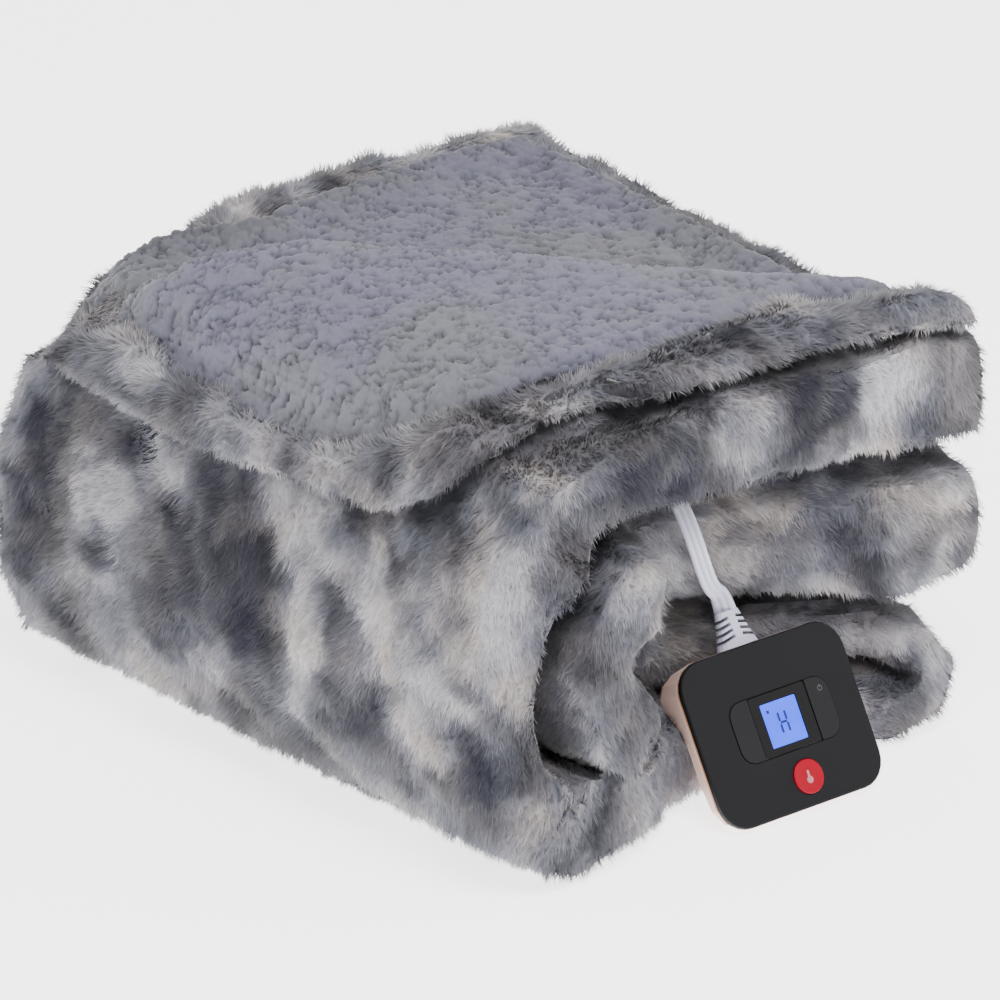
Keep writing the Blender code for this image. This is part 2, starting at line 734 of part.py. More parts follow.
def rounded_outline(width, height, radius, steps=5):
    """A rounded rectangle round the origin, anticlockwise."""
    points = []
    for corner, (sx, sy) in enumerate(((1, 1), (-1, 1), (-1, -1), (1, -1))):
        for k in range(steps + 1):
            angle = math.pi / 2 * (corner + k / steps)
            points.append(
                (
                    sx * (width / 2 - radius) + radius * math.cos(angle),
                    sy * (height / 2 - radius) + radius * math.sin(angle),
                )
            )
    return points


def stacked_outlines(layers):
    """A bmesh through outlines of equal length, each at its own z, closed at both ends."""
    bm = bmesh.new()
    loops = [[bm.verts.new((x, y, z)) for x, y in outline] for outline, z in layers]
    size = len(loops[0])
    for low, high in zip(loops, loops[1:]):
        for k in range(size):
            after = (k + 1) % size
            bm.faces.new((low[k], low[after], high[after], high[k]))
    bm.faces.new(loops[0][::-1])
    bm.faces.new(loops[-1])
    return bm


def slab(width, height, radius, low, high, edge=0.0, middle=(0.0, 0.0), steps=5):
    """A rounded-rectangle slab from z low to z high with a small bevel round its front."""
    def moved(points):
        return [(x + middle[0], y + middle[1]) for x, y in points]

    full = moved(rounded_outline(width, height, radius, steps))
    if not edge:
        return stacked_outlines([(full, low), (full, high)])
    less = moved(rounded_outline(width - 2 * edge, height - 2 * edge, max(radius - edge, edge), steps))
    return stacked_outlines([(full, low), (full, high - edge), (less, high)])


def housing_points():
    """The housing's back, row by row from top to bottom, as points in the controller's frame."""
    columns = (-1.0, -0.97, -0.88, -0.5, 0.0, 0.5, 0.88, 0.97, 1.0)
    grid = []
    for share, depth in HOUSING_DEPTHS:
        y = PLATE_H * (0.5 - share)
        over = max(abs(y) - (PLATE_H / 2 - PLATE_R), 0.0)
        half = PLATE_W / 2 - PLATE_R + math.sqrt(max(PLATE_R**2 - over**2, 0.0))
        for column in columns:
            side = max(abs(column) * half - (half - HOUSING_SIDE), 0.0) / HOUSING_SIDE
            rounding = math.sqrt(max(1 - side**2, 0.0))
            z = -PLATE_T - SEAT - HOUSING_WALL
            if rounding > 0.0:
                z -= max(depth - HOUSING_WALL, 0.0) * rounding
            grid.append(Vector((column * half, y, z)))
    return grid


def build_housing(place):
    points = housing_points()
    columns = 9
    rows = len(HOUSING_DEPTHS)
    bm = bmesh.new()
    back = [bm.verts.new(point) for point in points]
    front = [bm.verts.new((point.x, point.y, -PLATE_T - SEAT)) for point in points]
    for r in range(rows - 1):
        for c in range(columns - 1):
            corners = (r * columns + c, r * columns + c + 1, (r + 1) * columns + c + 1, (r + 1) * columns + c)
            bm.faces.new([back[k] for k in corners])
            bm.faces.new([front[k] for k in corners[::-1]])
    rim = list(range(columns)) + [r * columns + columns - 1 for r in range(1, rows)]
    rim += [(rows - 1) * columns + c for c in range(columns - 2, -1, -1)]
    rim += [r * columns for r in range(rows - 2, 0, -1)]
    for k, here in enumerate(rim):
        after = rim[(k + 1) % len(rim)]
        bm.faces.new((back[here], back[after], front[after], front[here]))
    bm.transform(place)
    add_object("controller_housing", bm, "rose_shell")


def build_plate(place):
    """The black face plate, with the pocket of the keys and window and that of the button."""
    plate = add_object(
        "face_plate", slab(PLATE_W, PLATE_H, PLATE_R, -PLATE_T, 0.0, PLATE_EDGE, steps=6), "black_plate"
    )
    pocket = slab(GROUP_W, GROUP_H, GROUP_R, -POCKET_DEPTH, CUT_TOP, middle=GROUP_MIDDLE)
    boolean(plate, add_object("cut_keys", pocket, "black_plate"), "DIFFERENCE")
    well = stacked_outlines(
        [
            (button_outline(BUTTON_R + BUTTON_GAP), -POCKET_DEPTH),
            (button_outline(BUTTON_R + BUTTON_GAP), CUT_TOP),
        ]
    )
    boolean(plate, add_object("cut_button", well, "black_plate"), "DIFFERENCE")
    plate.data.transform(place)
    plate.data.shade_smooth()
    plate.data.set_sharp_from_angle(angle=math.radians(30.0))


def half_outline(side):
    """A key's outline: the outer end of the group is rounded, the inner end is straight."""
    outer = GROUP_W / 2 - KEY_GAP
    inner = GROUP_W / 2 - KEY_W
    half = GROUP_H / 2 - KEY_GAP
    radius = GROUP_R - KEY_GAP
    points = [(inner, -half)]
    for corner in (-1, 1):
        for k in range(6):
            angle = math.pi / 2 * (k / 5 - (1 if corner < 0 else 0))
            x = outer - radius + radius * math.cos(angle)
            points.append((x, corner * (half - radius) + radius * math.sin(angle)))
    points.append((inner, half))
    if side < 0:
        points = [(-x, y) for x, y in points[::-1]]
    return [(x + GROUP_MIDDLE[0], y + GROUP_MIDDLE[1]) for x, y in points]


def own_origin(made, place, local):
    """Puts the object's origin at this point of the controller's frame, axes with the face."""
    at = place @ Matrix.Translation(local)
    made.data.transform(at.inverted() @ place)
    made.matrix_world = at


def build_keys(place):
    floor = -POCKET_DEPTH + SEAT
    for name, side in (("key_left", -1), ("key_right", 1)):
        outline = half_outline(side)
        bm = stacked_outlines([(outline, floor + KEY_TRAVEL), (outline, KEY_PROUD)])
        made = add_object(name, bm, "black_plate", 30.0)
        middle = GROUP_MIDDLE[0] + side * (GROUP_W - KEY_W) / 2
        own_origin(made, place, (middle, GROUP_MIDDLE[1], KEY_PROUD))
    bm = stacked_outlines(
        [
            (button_outline(BUTTON_R), floor + BUTTON_TRAVEL),
            (button_outline(BUTTON_R), BUTTON_PROUD - 0.0004),
            (button_outline(BUTTON_R - 0.0005), BUTTON_PROUD),
            (button_outline(BUTTON_R * 0.55), BUTTON_PROUD - 0.0003),
        ]
    )
    made = add_object("power_button", bm, "red_button", 30.0)
    own_origin(made, place, (*BUTTON_MIDDLE, BUTTON_PROUD))


def button_outline(radius, count=24):
    return [
        (
            BUTTON_MIDDLE[0] + radius * math.cos(2 * math.pi * k / count),
            BUTTON_MIDDLE[1] + radius * math.sin(2 * math.pi * k / count),
        )
        for k in range(count)
    ]


def build_window(place):
    """The dark window between the keys, and the lit screen sunk in it."""
    width = GROUP_W - 2 * KEY_W - 2 * KEY_GAP
    floor = -POCKET_DEPTH + SEAT
    window = add_object(
        "display_window",
        slab(width, GROUP_H - 2 * KEY_GAP, 0.0008, floor, WINDOW_PROUD, 0.0003, GROUP_MIDDLE, 2),
        "black_gloss",
        30.0,
    )
    middle = (GROUP_MIDDLE[0] + SCREEN_MIDDLE[0], GROUP_MIDDLE[1] + SCREEN_MIDDLE[1])
    opening = slab(SCREEN_W, SCREEN_H, 0.0008, -SCREEN_SINK, CUT_TOP, middle=middle, steps=2)
    boolean(window, add_object("cut_screen", opening, "black_gloss"), "DIFFERENCE")
    window.data.transform(place)
    screen = slab(
        SCREEN_W - 2 * SEAT, SCREEN_H - 2 * SEAT, 0.0006, -SCREEN_SINK + SEAT, -0.0001, middle=middle, steps=2
    )
    screen.transform(place)
    add_object("display_screen", screen, "blue_screen", 30.0)


def build_relief(place):
    """The tapered strain relief, its flanks slotted on both sides of a spine."""
    start = PLATE_H / 2 + SEAT
    bm = bmesh.new()
    loops = []
    for share in (0.0, 0.33, 0.66, 1.0):
        width = RELIEF_BASE[0] + (RELIEF_TIP[0] - RELIEF_BASE[0]) * share**0.8
        thick = RELIEF_BASE[1] + (RELIEF_TIP[1] - RELIEF_BASE[1]) * share
        outline = rounded_outline(width, thick, thick * 0.42, 3)
        y = start + share * RELIEF_LENGTH
        loops.append([bm.verts.new((RELIEF_X + x, y, z - RELIEF_DEPTH)) for x, z in outline])
    size = len(loops[0])
    for low, high in zip(loops, loops[1:]):
        for k in range(size):
            after = (k + 1) % size
            bm.faces.new((low[k], low[after], high[after], high[k]))
    bm.faces.new(loops[0])
    bm.faces.new(loops[-1])
    made = add_object("strain_relief", bm, "grey_rubber", 35.0)
    for k in range(RELIEF_SLOTS):
        first, last = RELIEF_SLOT_SPAN
        y = start + RELIEF_LENGTH * (first + (last - first) * k / (RELIEF_SLOTS - 1))
        for side in (-1, 1):
            cut = bmesh.new()
            bmesh.ops.create_cube(cut, size=1.0)
            bmesh.ops.scale(cut, vec=(0.020, RELIEF_SLOT, 0.030), verts=cut.verts)
            lean = Matrix.Rotation(math.radians(-14 * side), 4, "Z")
            at = Matrix.Translation((RELIEF_X + side * (0.010 + RELIEF_SPINE / 2), y, -RELIEF_DEPTH))
            cut.transform(at @ lean)
            boolean(made, add_object("cut_slot", cut, "grey_rubber"), "DIFFERENCE")
    made.data.transform(place)
    made.data.shade_smooth()
    made.data.set_sharp_from_angle(angle=math.radians(35.0))


# ---- the lead -----------------------------------------------------------------------------------
def fold_height(x):
    """The middle of the gap between the top run and the second roll, at x."""
    def surface(first, last):
        rows = []
        for k in range(8 * (last - first) + 1):
            row = strip_row(first + k / 8)
            rows.append((row["x_in"], row["z_in"]))
        return straight_point(sorted(rows), x)[0]

    return (surface(0, OVER_THE_EDGE_ROW) + surface(24, len(SECTIONS) - 1)) / 2


def lead_route(place):
    """The lead's own points: out of the strain relief, up the roll and to and fro in the fold."""
    tip = PLATE_H / 2 + SEAT + RELIEF_LENGTH + LEAD_GAP
    start = place @ Vector((RELIEF_X, tip, -RELIEF_DEPTH))
    onward = place @ Vector((RELIEF_X, tip + LEAD_STRAIGHT, -RELIEF_DEPTH))
    inside = [settled((x, y, fold_height(x))) for x, y in LEAD_INSIDE_XY]
    return [start, onward] + [Vector(point) for point in LEAD_OUTSIDE] + inside


def build_lead(place):
    route = [tuple(point) for point in lead_route(place)]
    fine = [Vector(curve_point(route, k / 30)) for k in range(30 * (len(route) - 1) + 1)]
    points = [fine[0]]
    travelled = 0.0
    inside = False
    for before, here in zip(fine, fine[1:]):
        travelled += (here - before).length
        inside = inside or here.y > FOLD_MOUTH_Y
        if travelled >= (LEAD_SPACING_INSIDE if inside else LEAD_SPACING_OUTSIDE):
            points.append(here)
            travelled = 0.0
    points.append(fine[-1])
    curve = bpy.data.curves.new("controller_lead", "CURVE")
    curve.dimensions = "3D"
    curve.bevel_depth = LEAD_THICKNESS / 2
    curve.bevel_resolution = 2
    curve.use_fill_caps = True
    spline = curve.splines.new("POLY")
    spline.points.add(len(points) - 1)
    for target, point in zip(spline.points, points):
        target.co = (*point, 1.0)
    curve.materials.append(material("grey_rubber"))
    made = bpy.data.objects.new("controller_lead", curve)
    bpy.context.scene.collection.objects.link(made)


def centre_footprint():
    """Moves everything so that the origin is the middle of the footprint, the lead left out."""
    bpy.context.view_layer.update()
    corners = [
        made.matrix_world @ Vector(corner)
        for made in bpy.data.objects
        if made.type == "MESH"
        for corner in made.bound_box
    ]
    middle = [(min(c[axis] for c in corners) + max(c[axis] for c in corners)) / 2 for axis in (0, 1)]
    shift = Matrix.Translation((-middle[0], -middle[1], 0.0))
    for made in bpy.data.objects:
        if made.matrix_world == Matrix.Identity(4):
            made.data.transform(shift)
        else:
            made.matrix_world = shift @ made.matrix_world


def main():
    for old in list(bpy.data.objects):
        bpy.data.objects.remove(old)
    build_fur()
    build_lining()
    place = controller_matrix()
    build_housing(place)
    build_plate(place)
    build_window(place)
    build_keys(place)
    build_relief(place)
    build_lead(place)
    centre_footprint()


main()
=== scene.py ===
"""Looks of a folded heated blanket: fur, sherpa lining, hand controller, flat lead and a plain stage.

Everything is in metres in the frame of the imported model: +Z up, the rolls face -Y and the smooth
wrapped side faces -X.
"""
import math

import bmesh
import bpy
import numpy as np
from bpy.props import FloatProperty, FloatVectorProperty, IntProperty, PointerProperty
from mathutils import Matrix, Vector
from mathutils.bvhtree import BVHTree


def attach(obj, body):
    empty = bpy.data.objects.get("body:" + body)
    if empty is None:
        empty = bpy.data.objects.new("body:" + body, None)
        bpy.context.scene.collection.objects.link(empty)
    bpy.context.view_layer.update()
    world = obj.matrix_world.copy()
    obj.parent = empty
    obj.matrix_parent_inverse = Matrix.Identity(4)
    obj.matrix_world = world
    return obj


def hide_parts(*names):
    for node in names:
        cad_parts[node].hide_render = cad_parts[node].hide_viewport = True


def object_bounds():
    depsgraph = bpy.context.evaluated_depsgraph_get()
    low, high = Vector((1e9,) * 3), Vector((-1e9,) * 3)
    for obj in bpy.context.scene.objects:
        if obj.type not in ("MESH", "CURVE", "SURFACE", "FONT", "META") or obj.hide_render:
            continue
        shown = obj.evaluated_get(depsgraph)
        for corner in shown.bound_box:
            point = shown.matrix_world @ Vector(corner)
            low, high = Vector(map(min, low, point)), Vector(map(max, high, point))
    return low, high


bl_info = {
    "name": "Folded Heated Blanket",
    "version": (1, 0, 0),
    "blender": (4, 5, 0),
    "location": "View3D > Sidebar > Blanket",
    "description": "Dresses the folded heated blanket with fur, sherpa, controller and lead",
    "category": "Object",
}

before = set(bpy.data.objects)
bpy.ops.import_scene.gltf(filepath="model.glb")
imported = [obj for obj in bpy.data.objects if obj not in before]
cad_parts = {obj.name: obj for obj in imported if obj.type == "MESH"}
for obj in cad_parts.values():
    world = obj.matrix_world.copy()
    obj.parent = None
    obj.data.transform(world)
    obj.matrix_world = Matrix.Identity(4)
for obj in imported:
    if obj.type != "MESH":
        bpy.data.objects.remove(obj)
CAD_BOX = [list(corner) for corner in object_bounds()]



def in_metres(places, unit):
    """Places given in this part of a metre, in metres."""
    return [tuple(value / unit for value in place) for place in places]


BLANKET = "blanket"
PIECE_STRANDS = 190000  # strands in one piece of the pile
GOLDEN_ANGLE = 2.39996
SKY_REACH = 0.8  # rays this long decide whether a place shows
FOLD_REACH = 0.028  # and these how deep in a fold it lies
SHIFT_LIMIT = 0.005  # furthest that rounding off moves the cloth
INSET_SHARE = 0.85  # and how much of its thickness it may sink
ROLL_ROUNDING = 0.024
INNER_PUSH = 0.019  # the inner rolls' ends, forwards
GAP_RISE = 0.016  # the lowest roll's top, upwards
GAP_DROP = 0.007  # and what lies over it, downwards
CLEAR_BOX = (np.array((-0.040, 0.0)), np.array((0.080, 0.165)))  # X and Z round the controller and lead
PILE_ROOM = 0.007  # furthest that tips reach past the CAD model's box
LINING_VOXEL = 0.00155

# ---- the pile
PILE_LEAN = 37  # degrees between strands and cloth
LEAN_DRIFT = 12
LEAN_SCATTER = 8
TURN_SCATTER = 0.18  # in radians, to either side
BROAD_TUFT, BROAD_PULL = 0.0085, 0.38  # size of a tuft, and how far it draws its strands together
SMALL_TUFT, SMALL_PULL = 0.0036, 0.35
FAR_DENSITY = 0.30  # share of the strands where the camera doesn't see them
BASE_DENSITY = 0.10  # and underneath
FAR_WIDTH = 1.9  # and how much wider those are
HEM_HEIGHT = 0.195  # the lining's edge lies higher than this

# ---- camera and stage
SENSOR = 36.0
LENS = 342.06
CAMERA_TARGET = Vector((0.01997, 0.03317, 0.0925))
CAMERA_DISTANCE = 5.0
CAMERA_AZIMUTH = math.radians(-42.0)
CAMERA_ELEVATION = math.radians(25.0)
FLOOR_GLOW = 2.8
SKY_GLOW = 1.05
LAMPS = (("key", (-0.5, -1.3, 2.6), 1.3, 90.0), ("fill", (2.0, -1.4, 1.2), 1.6, 14.0))  # place, size, watts
LAMP_TARGET = Vector((0.0, 0.0, 0.1))

# ---- the lead: its centreline from the strain relief up and to and fro in the fold
LEAD_ROUTE = in_metres((
    (175, -1423, 916), (160, -1420, 961), (136, -1428, 1003), (103, -1448, 1041), (62, -1475, 1076),
    (19, -1503, 1111), (-22, -1527, 1151), (-62, -1546, 1204), (-102, -1561, 1275), (-141, -1568, 1365),
    (-172, -1558, 1465), (-189, -1522, 1564), (-190, -1458, 1652), (-181, -1375, 1731),
    (-174, -1251, 1747), (-215, -1091, 1755), (-221, 5, 1771), (-219, 584, 1778), (-200, 1126, 1784),
    (-169, 1289, 1783), (-78, 1434, 1776), (56, 1542, 1764), (214, 1582, 1748), (380, 1538, 1730),
    (507, 1430, 1714), (588, 1278, 1701), (611, 1104, 1695), (603, 545, 1684), (582, -30, 1675),
    (559, -574, 1667), (560, -948, 1659), (593, -1109, 1651), (705, -1238, 1633), (848, -1331, 1610),
    (1008, -1326, 1587), (1146, -1233, 1570), (1258, -1111, 1558), (1315, -765, 1559),
    (1326, -57, 1576), (1353, 934, 1598),
), 10000)
LEAD_STRAND = 0.0016  # radius of one of its three strands
LEAD_PITCH = 0.0030
LEAD_STEPS = 5  # rings from one place of the route to the next
RELIEF_RINGS = 22  # over these the lead widens to meet the strain relief
FOLD_RING = 40  # from here on it can lie flat in the fold

# ---- the turned-back corner, in X and Y: its ridge, and what the lining covers left of it
RIDGE_LINE = in_metres((
    (-158, 156), (-113, 118), (-71, 86), (-9, 6), (53, -74), (108, -119), (168, -141),
), 1000)
LINING_MIDDLE = (-0.009, 0.005)
LINING_SPREAD = 1.04
FAR_SPREAD = 0.018  # more of it on the sides away from the rolls' ends
PATCH_SEAM = (-0.105, 0.115)
PATCH_CELL = 0.004
PATCH_RISE = 0.0085  # the added corner's top over the fur
RIM_SINK = 0.0034  # the lining's edge, under the hem's pile
LEFT_SINK = 0.0075  # and more of it along the near-left hem
FAR_LIFT = 0.0070  # the far edges, up to the hems
RIDGE_DIP = 0.0060  # the lining right behind the ridge
CORNER_OUTLINE = in_metres((
    (-151, 80), (-149, 115), (-142, 148), (-132, 174), (-119, 179), (-100, 170), (-80, 160), (-55, 146),
    (-35, 142), (-60, 105), (-110, 70),
), 1000)

MARK_HEIGHT = 0.00012
JOIN_DISTANCE = 1e-5  # corners of CAD triangles closer than this are one

# ---- the controller's own frame, from the middle of its face: across, up the face, out of it
FACE_MIDDLE = Vector((0.01752, -0.18583, 0.04209))
FACE_OUT = Vector((-0.0594, -0.8497, 0.5240)).normalized()
FACE_ACROSS = Vector((0.0, 0.0, 1.0)).cross(FACE_OUT).normalized()
FACE_UP = FACE_OUT.cross(FACE_ACROSS)
PLATE_BACK = -0.0033  # behind the face, where the housing starts
SCREEN_MIDDLE = (0.0017, 0.0012)
BUTTON_MIDDLE = (0.0051, -0.0295)
BUTTON_TOP = 0.0008
POWER_MARK = (0.0295, 0.0117)
KEY_TOP = 0.0004

# ---- dye patches: place and radius in millimetres, and how much darker (+) or lighter (-) in percent
DYE_PATCHES = (
    (-172, 165, 193, 13, 45), (-173, 173, 145, 18, 45), (-181, 179, 113, 15, 45), (-183, 180, 79, 15, 40),
    (-179, 156, 54, 13, 30), (-169, 110, 159, 13, 45), (-173, 37, 157, 17, 45), (-179, 46, 116, 20, 50),
    (-181, 29, 97, 24, 60), (-176, -3, 133, 15, 45), (-178, -30, 188, 12, 30), (-181, 1, 84, 19, 45),
    (-178, -55, 129, 12, 25), (-183, 87, 79, 18, 35), (-183, 128, 88, 14, 30), (-169, -65, 173, 16, 45),
    (-171, -106, 167, 15, 35), (-179, -79, 73, 22, 45), (-172, -43, 41, 18, 35), (-175, -117, 43, 18, 35),
    (-179, -172, 60, 22, 40), (-174, 24, 40, 16, 30), (-171, 155, 23, 12, 25), (-177, 68, 131, 11, 30),
    (-158, -120, 190, 12, 25), (-148, -131, 218, 12, 30), (-178, 119, 130, 16, -35),
    (-183, 141, 116, 9, -20), (-172, 73, 156, 11, -20), (-171, -25, 156, 14, -40),
    (-178, -27, 125, 13, -35), (-182, -39, 99, 15, -35), (-176, -98, 138, 15, -20), (-173, 91, 38, 18, -25),
    (-180, 113, 105, 11, -15), (-182, -147, 113, 17, -25), (-181, -138, 70, 13, -20),
    (-181, 42, 58, 12, -20), (-179, -98, 122, 11, -15), (-167, -105, 20, 16, -15), (-174, -54, 150, 8, -20),
    (-112, -116, 241, 15, 50), (-75, -139, 248, 12, 20), (-75, -177, 211, 21, 50), (-53, -172, 187, 16, 35),
    (-105, -154, 166, 21, 60), (-111, -176, 139, 13, 35), (-110, -179, 87, 20, 55),
    (-107, -154, 60, 14, 40), (-53, -142, 38, 13, 45), (-20, -181, 190, 11, 25), (35, -178, 216, 24, 55),
    (69, -179, 210, 16, 45), (-28, -170, 227, 11, 30), (16, -183, 194, 9, 30), (133, -172, 167, 13, 30),
    (152, -181, 115, 11, 25), (90, -174, 107, 13, 30), (115, -176, 44, 11, 30), (106, -175, 29, 16, 45),
    (104, -172, 84, 14, 30), (-38, -181, 212, 12, 20), (-142, -169, 202, 12, 30), (-111, -188, 26, 16, 35),
    (-138, -188, 18, 12, 25), (-62, -162, 230, 13, 20), (-91, -135, 243, 18, -40),
    (-86, -159, 230, 14, -25), (100, -176, 212, 19, -40), (81, -158, 227, 13, -20),
    (-17, -159, 240, 13, -25), (73, -155, 89, 14, -20), (56, -128, 73, 13, -25), (-124, -155, 219, 13, -25),
    (-163, -169, 178, 15, -30), (-167, -175, 146, 13, -20), (-21, -120, 50, 13, -30),
    (137, -177, 129, 15, -30), (108, -165, 53, 12, -25), (151, -175, 192, 11, -15),
    (-13, -184, 206, 9, -20), (-37, -144, 127, 13, -15), (-160, -182, 113, 11, -15),
    (43, -140, 145, 11, -15), (-168, 101, 207, 14, -35), (-171, 162, 196, 8, 25), (-155, 64, 209, 11, -15),
    (-176, 56, 201, 9, 15), (-160, 24, 208, 11, 5), (-164, -82, 215, 12, 15), (-118, -81, 230, 12, -30),
    (-171, -43, 206, 11, -10), (-38, 165, 232, 9, -30), (-11, 164, 232, 7, -25), (15, 162, 231, 7, 15),
    (57, 160, 230, 7, 15), (112, 159, 227, 8, -15), (138, 160, 225, 8, -25), (-62, 170, 230, 6, 10),
    (-102, 171, 219, 9, 15), (167, 117, 217, 9, 25), (163, 72, 216, 11, 40), (160, 38, 216, 11, 35),
    (155, -6, 215, 11, 30), (158, -49, 212, 9, 20), (13, -148, 253, 12, 55), (-11, -152, 252, 9, 35),
    (72, -109, 241, 9, -20), (144, -63, 213, 8, -20), (-9, -112, 242, 9, 30), (30, -100, 243, 9, -20),
    (-45, -114, 242, 8, -10), (165, -72, 208, 9, -15), (119, -163, 243, 12, 15), (162, -164, 207, 12, 20),
)


# ---- noise
NOISE_TABLE = 4096


def cell_key(cells):
    return (cells[:, 0] * 73856093 ^ cells[:, 1] * 19349663 ^ cells[:, 2] * 83492791) % NOISE_TABLE


def soft_noise(points, size, seed, channels=1):
    """Smooth noise from -1 to 1 with lumps of about this size in metres."""
    table = np.random.default_rng(seed).uniform(-1.0, 1.0, (NOISE_TABLE, channels))
    places = points / size
    base = np.floor(places).astype(np.int64)
    part = places - base
    part = part * part * (3 - 2 * part)
    total = np.zeros((len(points), channels))
    for corner in np.ndindex(2, 2, 2):
        weight = np.prod(np.where(corner, part, 1 - part), axis=1)
        total += weight[:, None] * table[cell_key(base + corner)]
    return total if channels > 1 else total[:, 0]


def scattered(points, size, seed):
    """Distances to the nearest two of points scattered one to a cell, in cells, and the nearest."""
    table = np.random.default_rng(seed).uniform(0.08, 0.92, (NOISE_TABLE, 3))
    places = points / size
    base = np.floor(places).astype(np.int64)
    first = np.full(len(points), 9.0)
    second = first.copy()
    nearest = places.copy()
    for corner in np.ndindex(3, 3, 3):
        at = base + np.array(corner) - 1
        spot = at + table[cell_key(at)]
        far = np.linalg.norm(spot - places, axis=1)
        closer = far < first
        nearest[closer] = spot[closer]
        second = np.minimum(second, np.maximum(first, far))
        first = np.minimum(first, far)
    return first, second, nearest * size


def smooth_step(value):
    value = np.clip(value, 0.0, 1.0)
    return value * value * (3 - 2 * value)


def fade(values, start, width):
    """Rises from 0 at start to 1 at start + width; with a negative width it rises the other way."""
    return smooth_step((values - start) / width)


def window(values, start, rise, end, fall):
    """1 between start and end, fading to 0 at both over these widths."""
    return fade(values, start, rise) * fade(values, end, -fall)


def flattened(vectors, normals):
    """The vectors without their part along the normals."""
    return vectors - np.sum(vectors * normals, axis=1)[:, None] * normals


def unit(vectors):
    return vectors / np.maximum(np.linalg.norm(vectors, axis=1), 1e-9)[:, None]


# ---- meshes
def values_of(items, name, width=3, kind=float):
    values = np.empty(len(items) * width, kind)
    items.foreach_get(name, values)
    return values.reshape(-1, width)


def arrays(mesh):
    """A triangle mesh's points, normals and triangles."""
    mesh.calc_loop_triangles()
    triangles = values_of(mesh.loop_triangles, "vertices", kind=np.int64)
    return values_of(mesh.vertices, "co"), values_of(mesh.vertices, "normal"), triangles


def set_points(mesh, points):
    """Moves the mesh's points, and gives its arrays anew."""
    mesh.vertices.foreach_set("co", points.astype(np.float32).ravel())
    mesh.update()
    return arrays(mesh)


def set_attributes(mesh, **lists):
    for name, values in lists.items():
        made = mesh.attributes.new(name, "FLOAT", "POINT")
        made.data.foreach_set("value", np.asarray(values, np.float32))


def link_piece(name, mesh):
    piece = bpy.data.objects.new(name, mesh)
    bpy.context.scene.collection.objects.link(piece)
    return piece


def copy_of_node(node, name):
    """A copy of a CAD node as a piece of its own, its triangles joined."""
    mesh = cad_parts[node].data.copy()
    mesh.materials.clear()
    bm = bmesh.new()
    bm.from_mesh(mesh)
    bmesh.ops.remove_doubles(bm, verts=bm.verts, dist=JOIN_DISTANCE)
    bm.to_mesh(mesh)
    bm.free()
    mesh.name = name
    if mesh.has_custom_normals:
        mesh.attributes.remove(mesh.attributes["custom_normal"])
    mesh.shade_smooth()
    return link_piece(name, mesh)


def choose(piece):
    """Makes this piece the only selected and the active one."""
    for other in bpy.context.selected_objects:
        other.select_set(False)
    piece.select_set(True)
    bpy.context.view_layer.objects.active = piece


def sees_open(tree, point, normal, turns, reach=SKY_REACH):
    """The share of directions around the normal in which a ray from the point meets nothing."""
    across = normal.orthogonal().normalized()
    along = normal.cross(across)
    start = point + normal * 0.0004
    free = 0
    for a, b, c in turns:
        if tree.ray_cast(start, across * a + along * b + normal * c, reach)[0] is None:
            free += 1
    return free / len(turns)


def dome(count):
    """Evenly spread directions of the upper half of a ball."""
    turns = []
    for k in range(count):
        height = (k + 0.5) / count
        angle = k * GOLDEN_ANGLE
        wide = math.sqrt(1 - height * height)
        turns.append((wide * math.cos(angle), wide * math.sin(angle), height))
    return turns


# ---- the cloth's shape, and its dye with painted shade on the smooth side
def open_faces(bm, tree, hidden):
    """Marks, in the hidden layer, the faces that no ray from outside can reach."""
    turns = dome(9)
    for face in bm.faces:
        if face[hidden]:
            continue
        middle = face.calc_center_median()
        spots = [middle] + [middle.lerp(vert.co, 0.8) for vert in face.verts]
        if not any(sees_open(tree, spot, face.normal, turns) > 0 for spot in spots):
            face[hidden] = 1


def refine(piece, longest, rounds=7):
    """Splits the faces that show until no edge of theirs is longer than this."""
    bm = bmesh.new()
    bm.from_mesh(piece.data)
    bmesh.ops.triangulate(bm, faces=bm.faces)
    tree = BVHTree.FromBMesh(bm)
    hidden = bm.faces.layers.int.new("hidden")
    for step in range(rounds):
        bm.normal_update()
        if step in (1, 3):
            open_faces(bm, tree, hidden)
        edges = [
            edge
            for edge in bm.edges
            if edge.calc_length() > longest and not all(face[hidden] for face in edge.link_faces)
        ]
        if not edges:
            break
        bmesh.ops.subdivide_edges(bm, edges=edges, cuts=1, use_grid_fill=False)
        bmesh.ops.triangulate(bm, faces=[face for face in bm.faces if len(face.verts) > 3])
    bm.to_mesh(piece.data)
    bm.free()
    return tree


def exposure(mesh, tree, rays, reach):
    """How open each point lies, from 0 in a fold to 1, as far as this reach."""
    turns = dome(rays)
    return np.array([sees_open(tree, vert.co, vert.normal, turns, reach) for vert in mesh.vertices])


def thickness(points, normals, tree):
    """How deep the cloth is behind each point, up to 20 mm."""
    reach, start = 0.020, 0.0006
    deep = np.full(len(points), reach)
    for k, (point, normal) in enumerate(zip(points, normals)):
        far = tree.ray_cast(Vector(point - start * normal), Vector(-normal), reach)[3]
        if far is not None:
            deep[k] = far + start
    return deep


def smoothed(grid):
    """The grid, each value the mean of five by five."""
    padded = np.pad(grid, 2, mode="edge")
    return np.lib.stride_tricks.sliding_window_view(padded, (5, 5)).mean(axis=(2, 3))


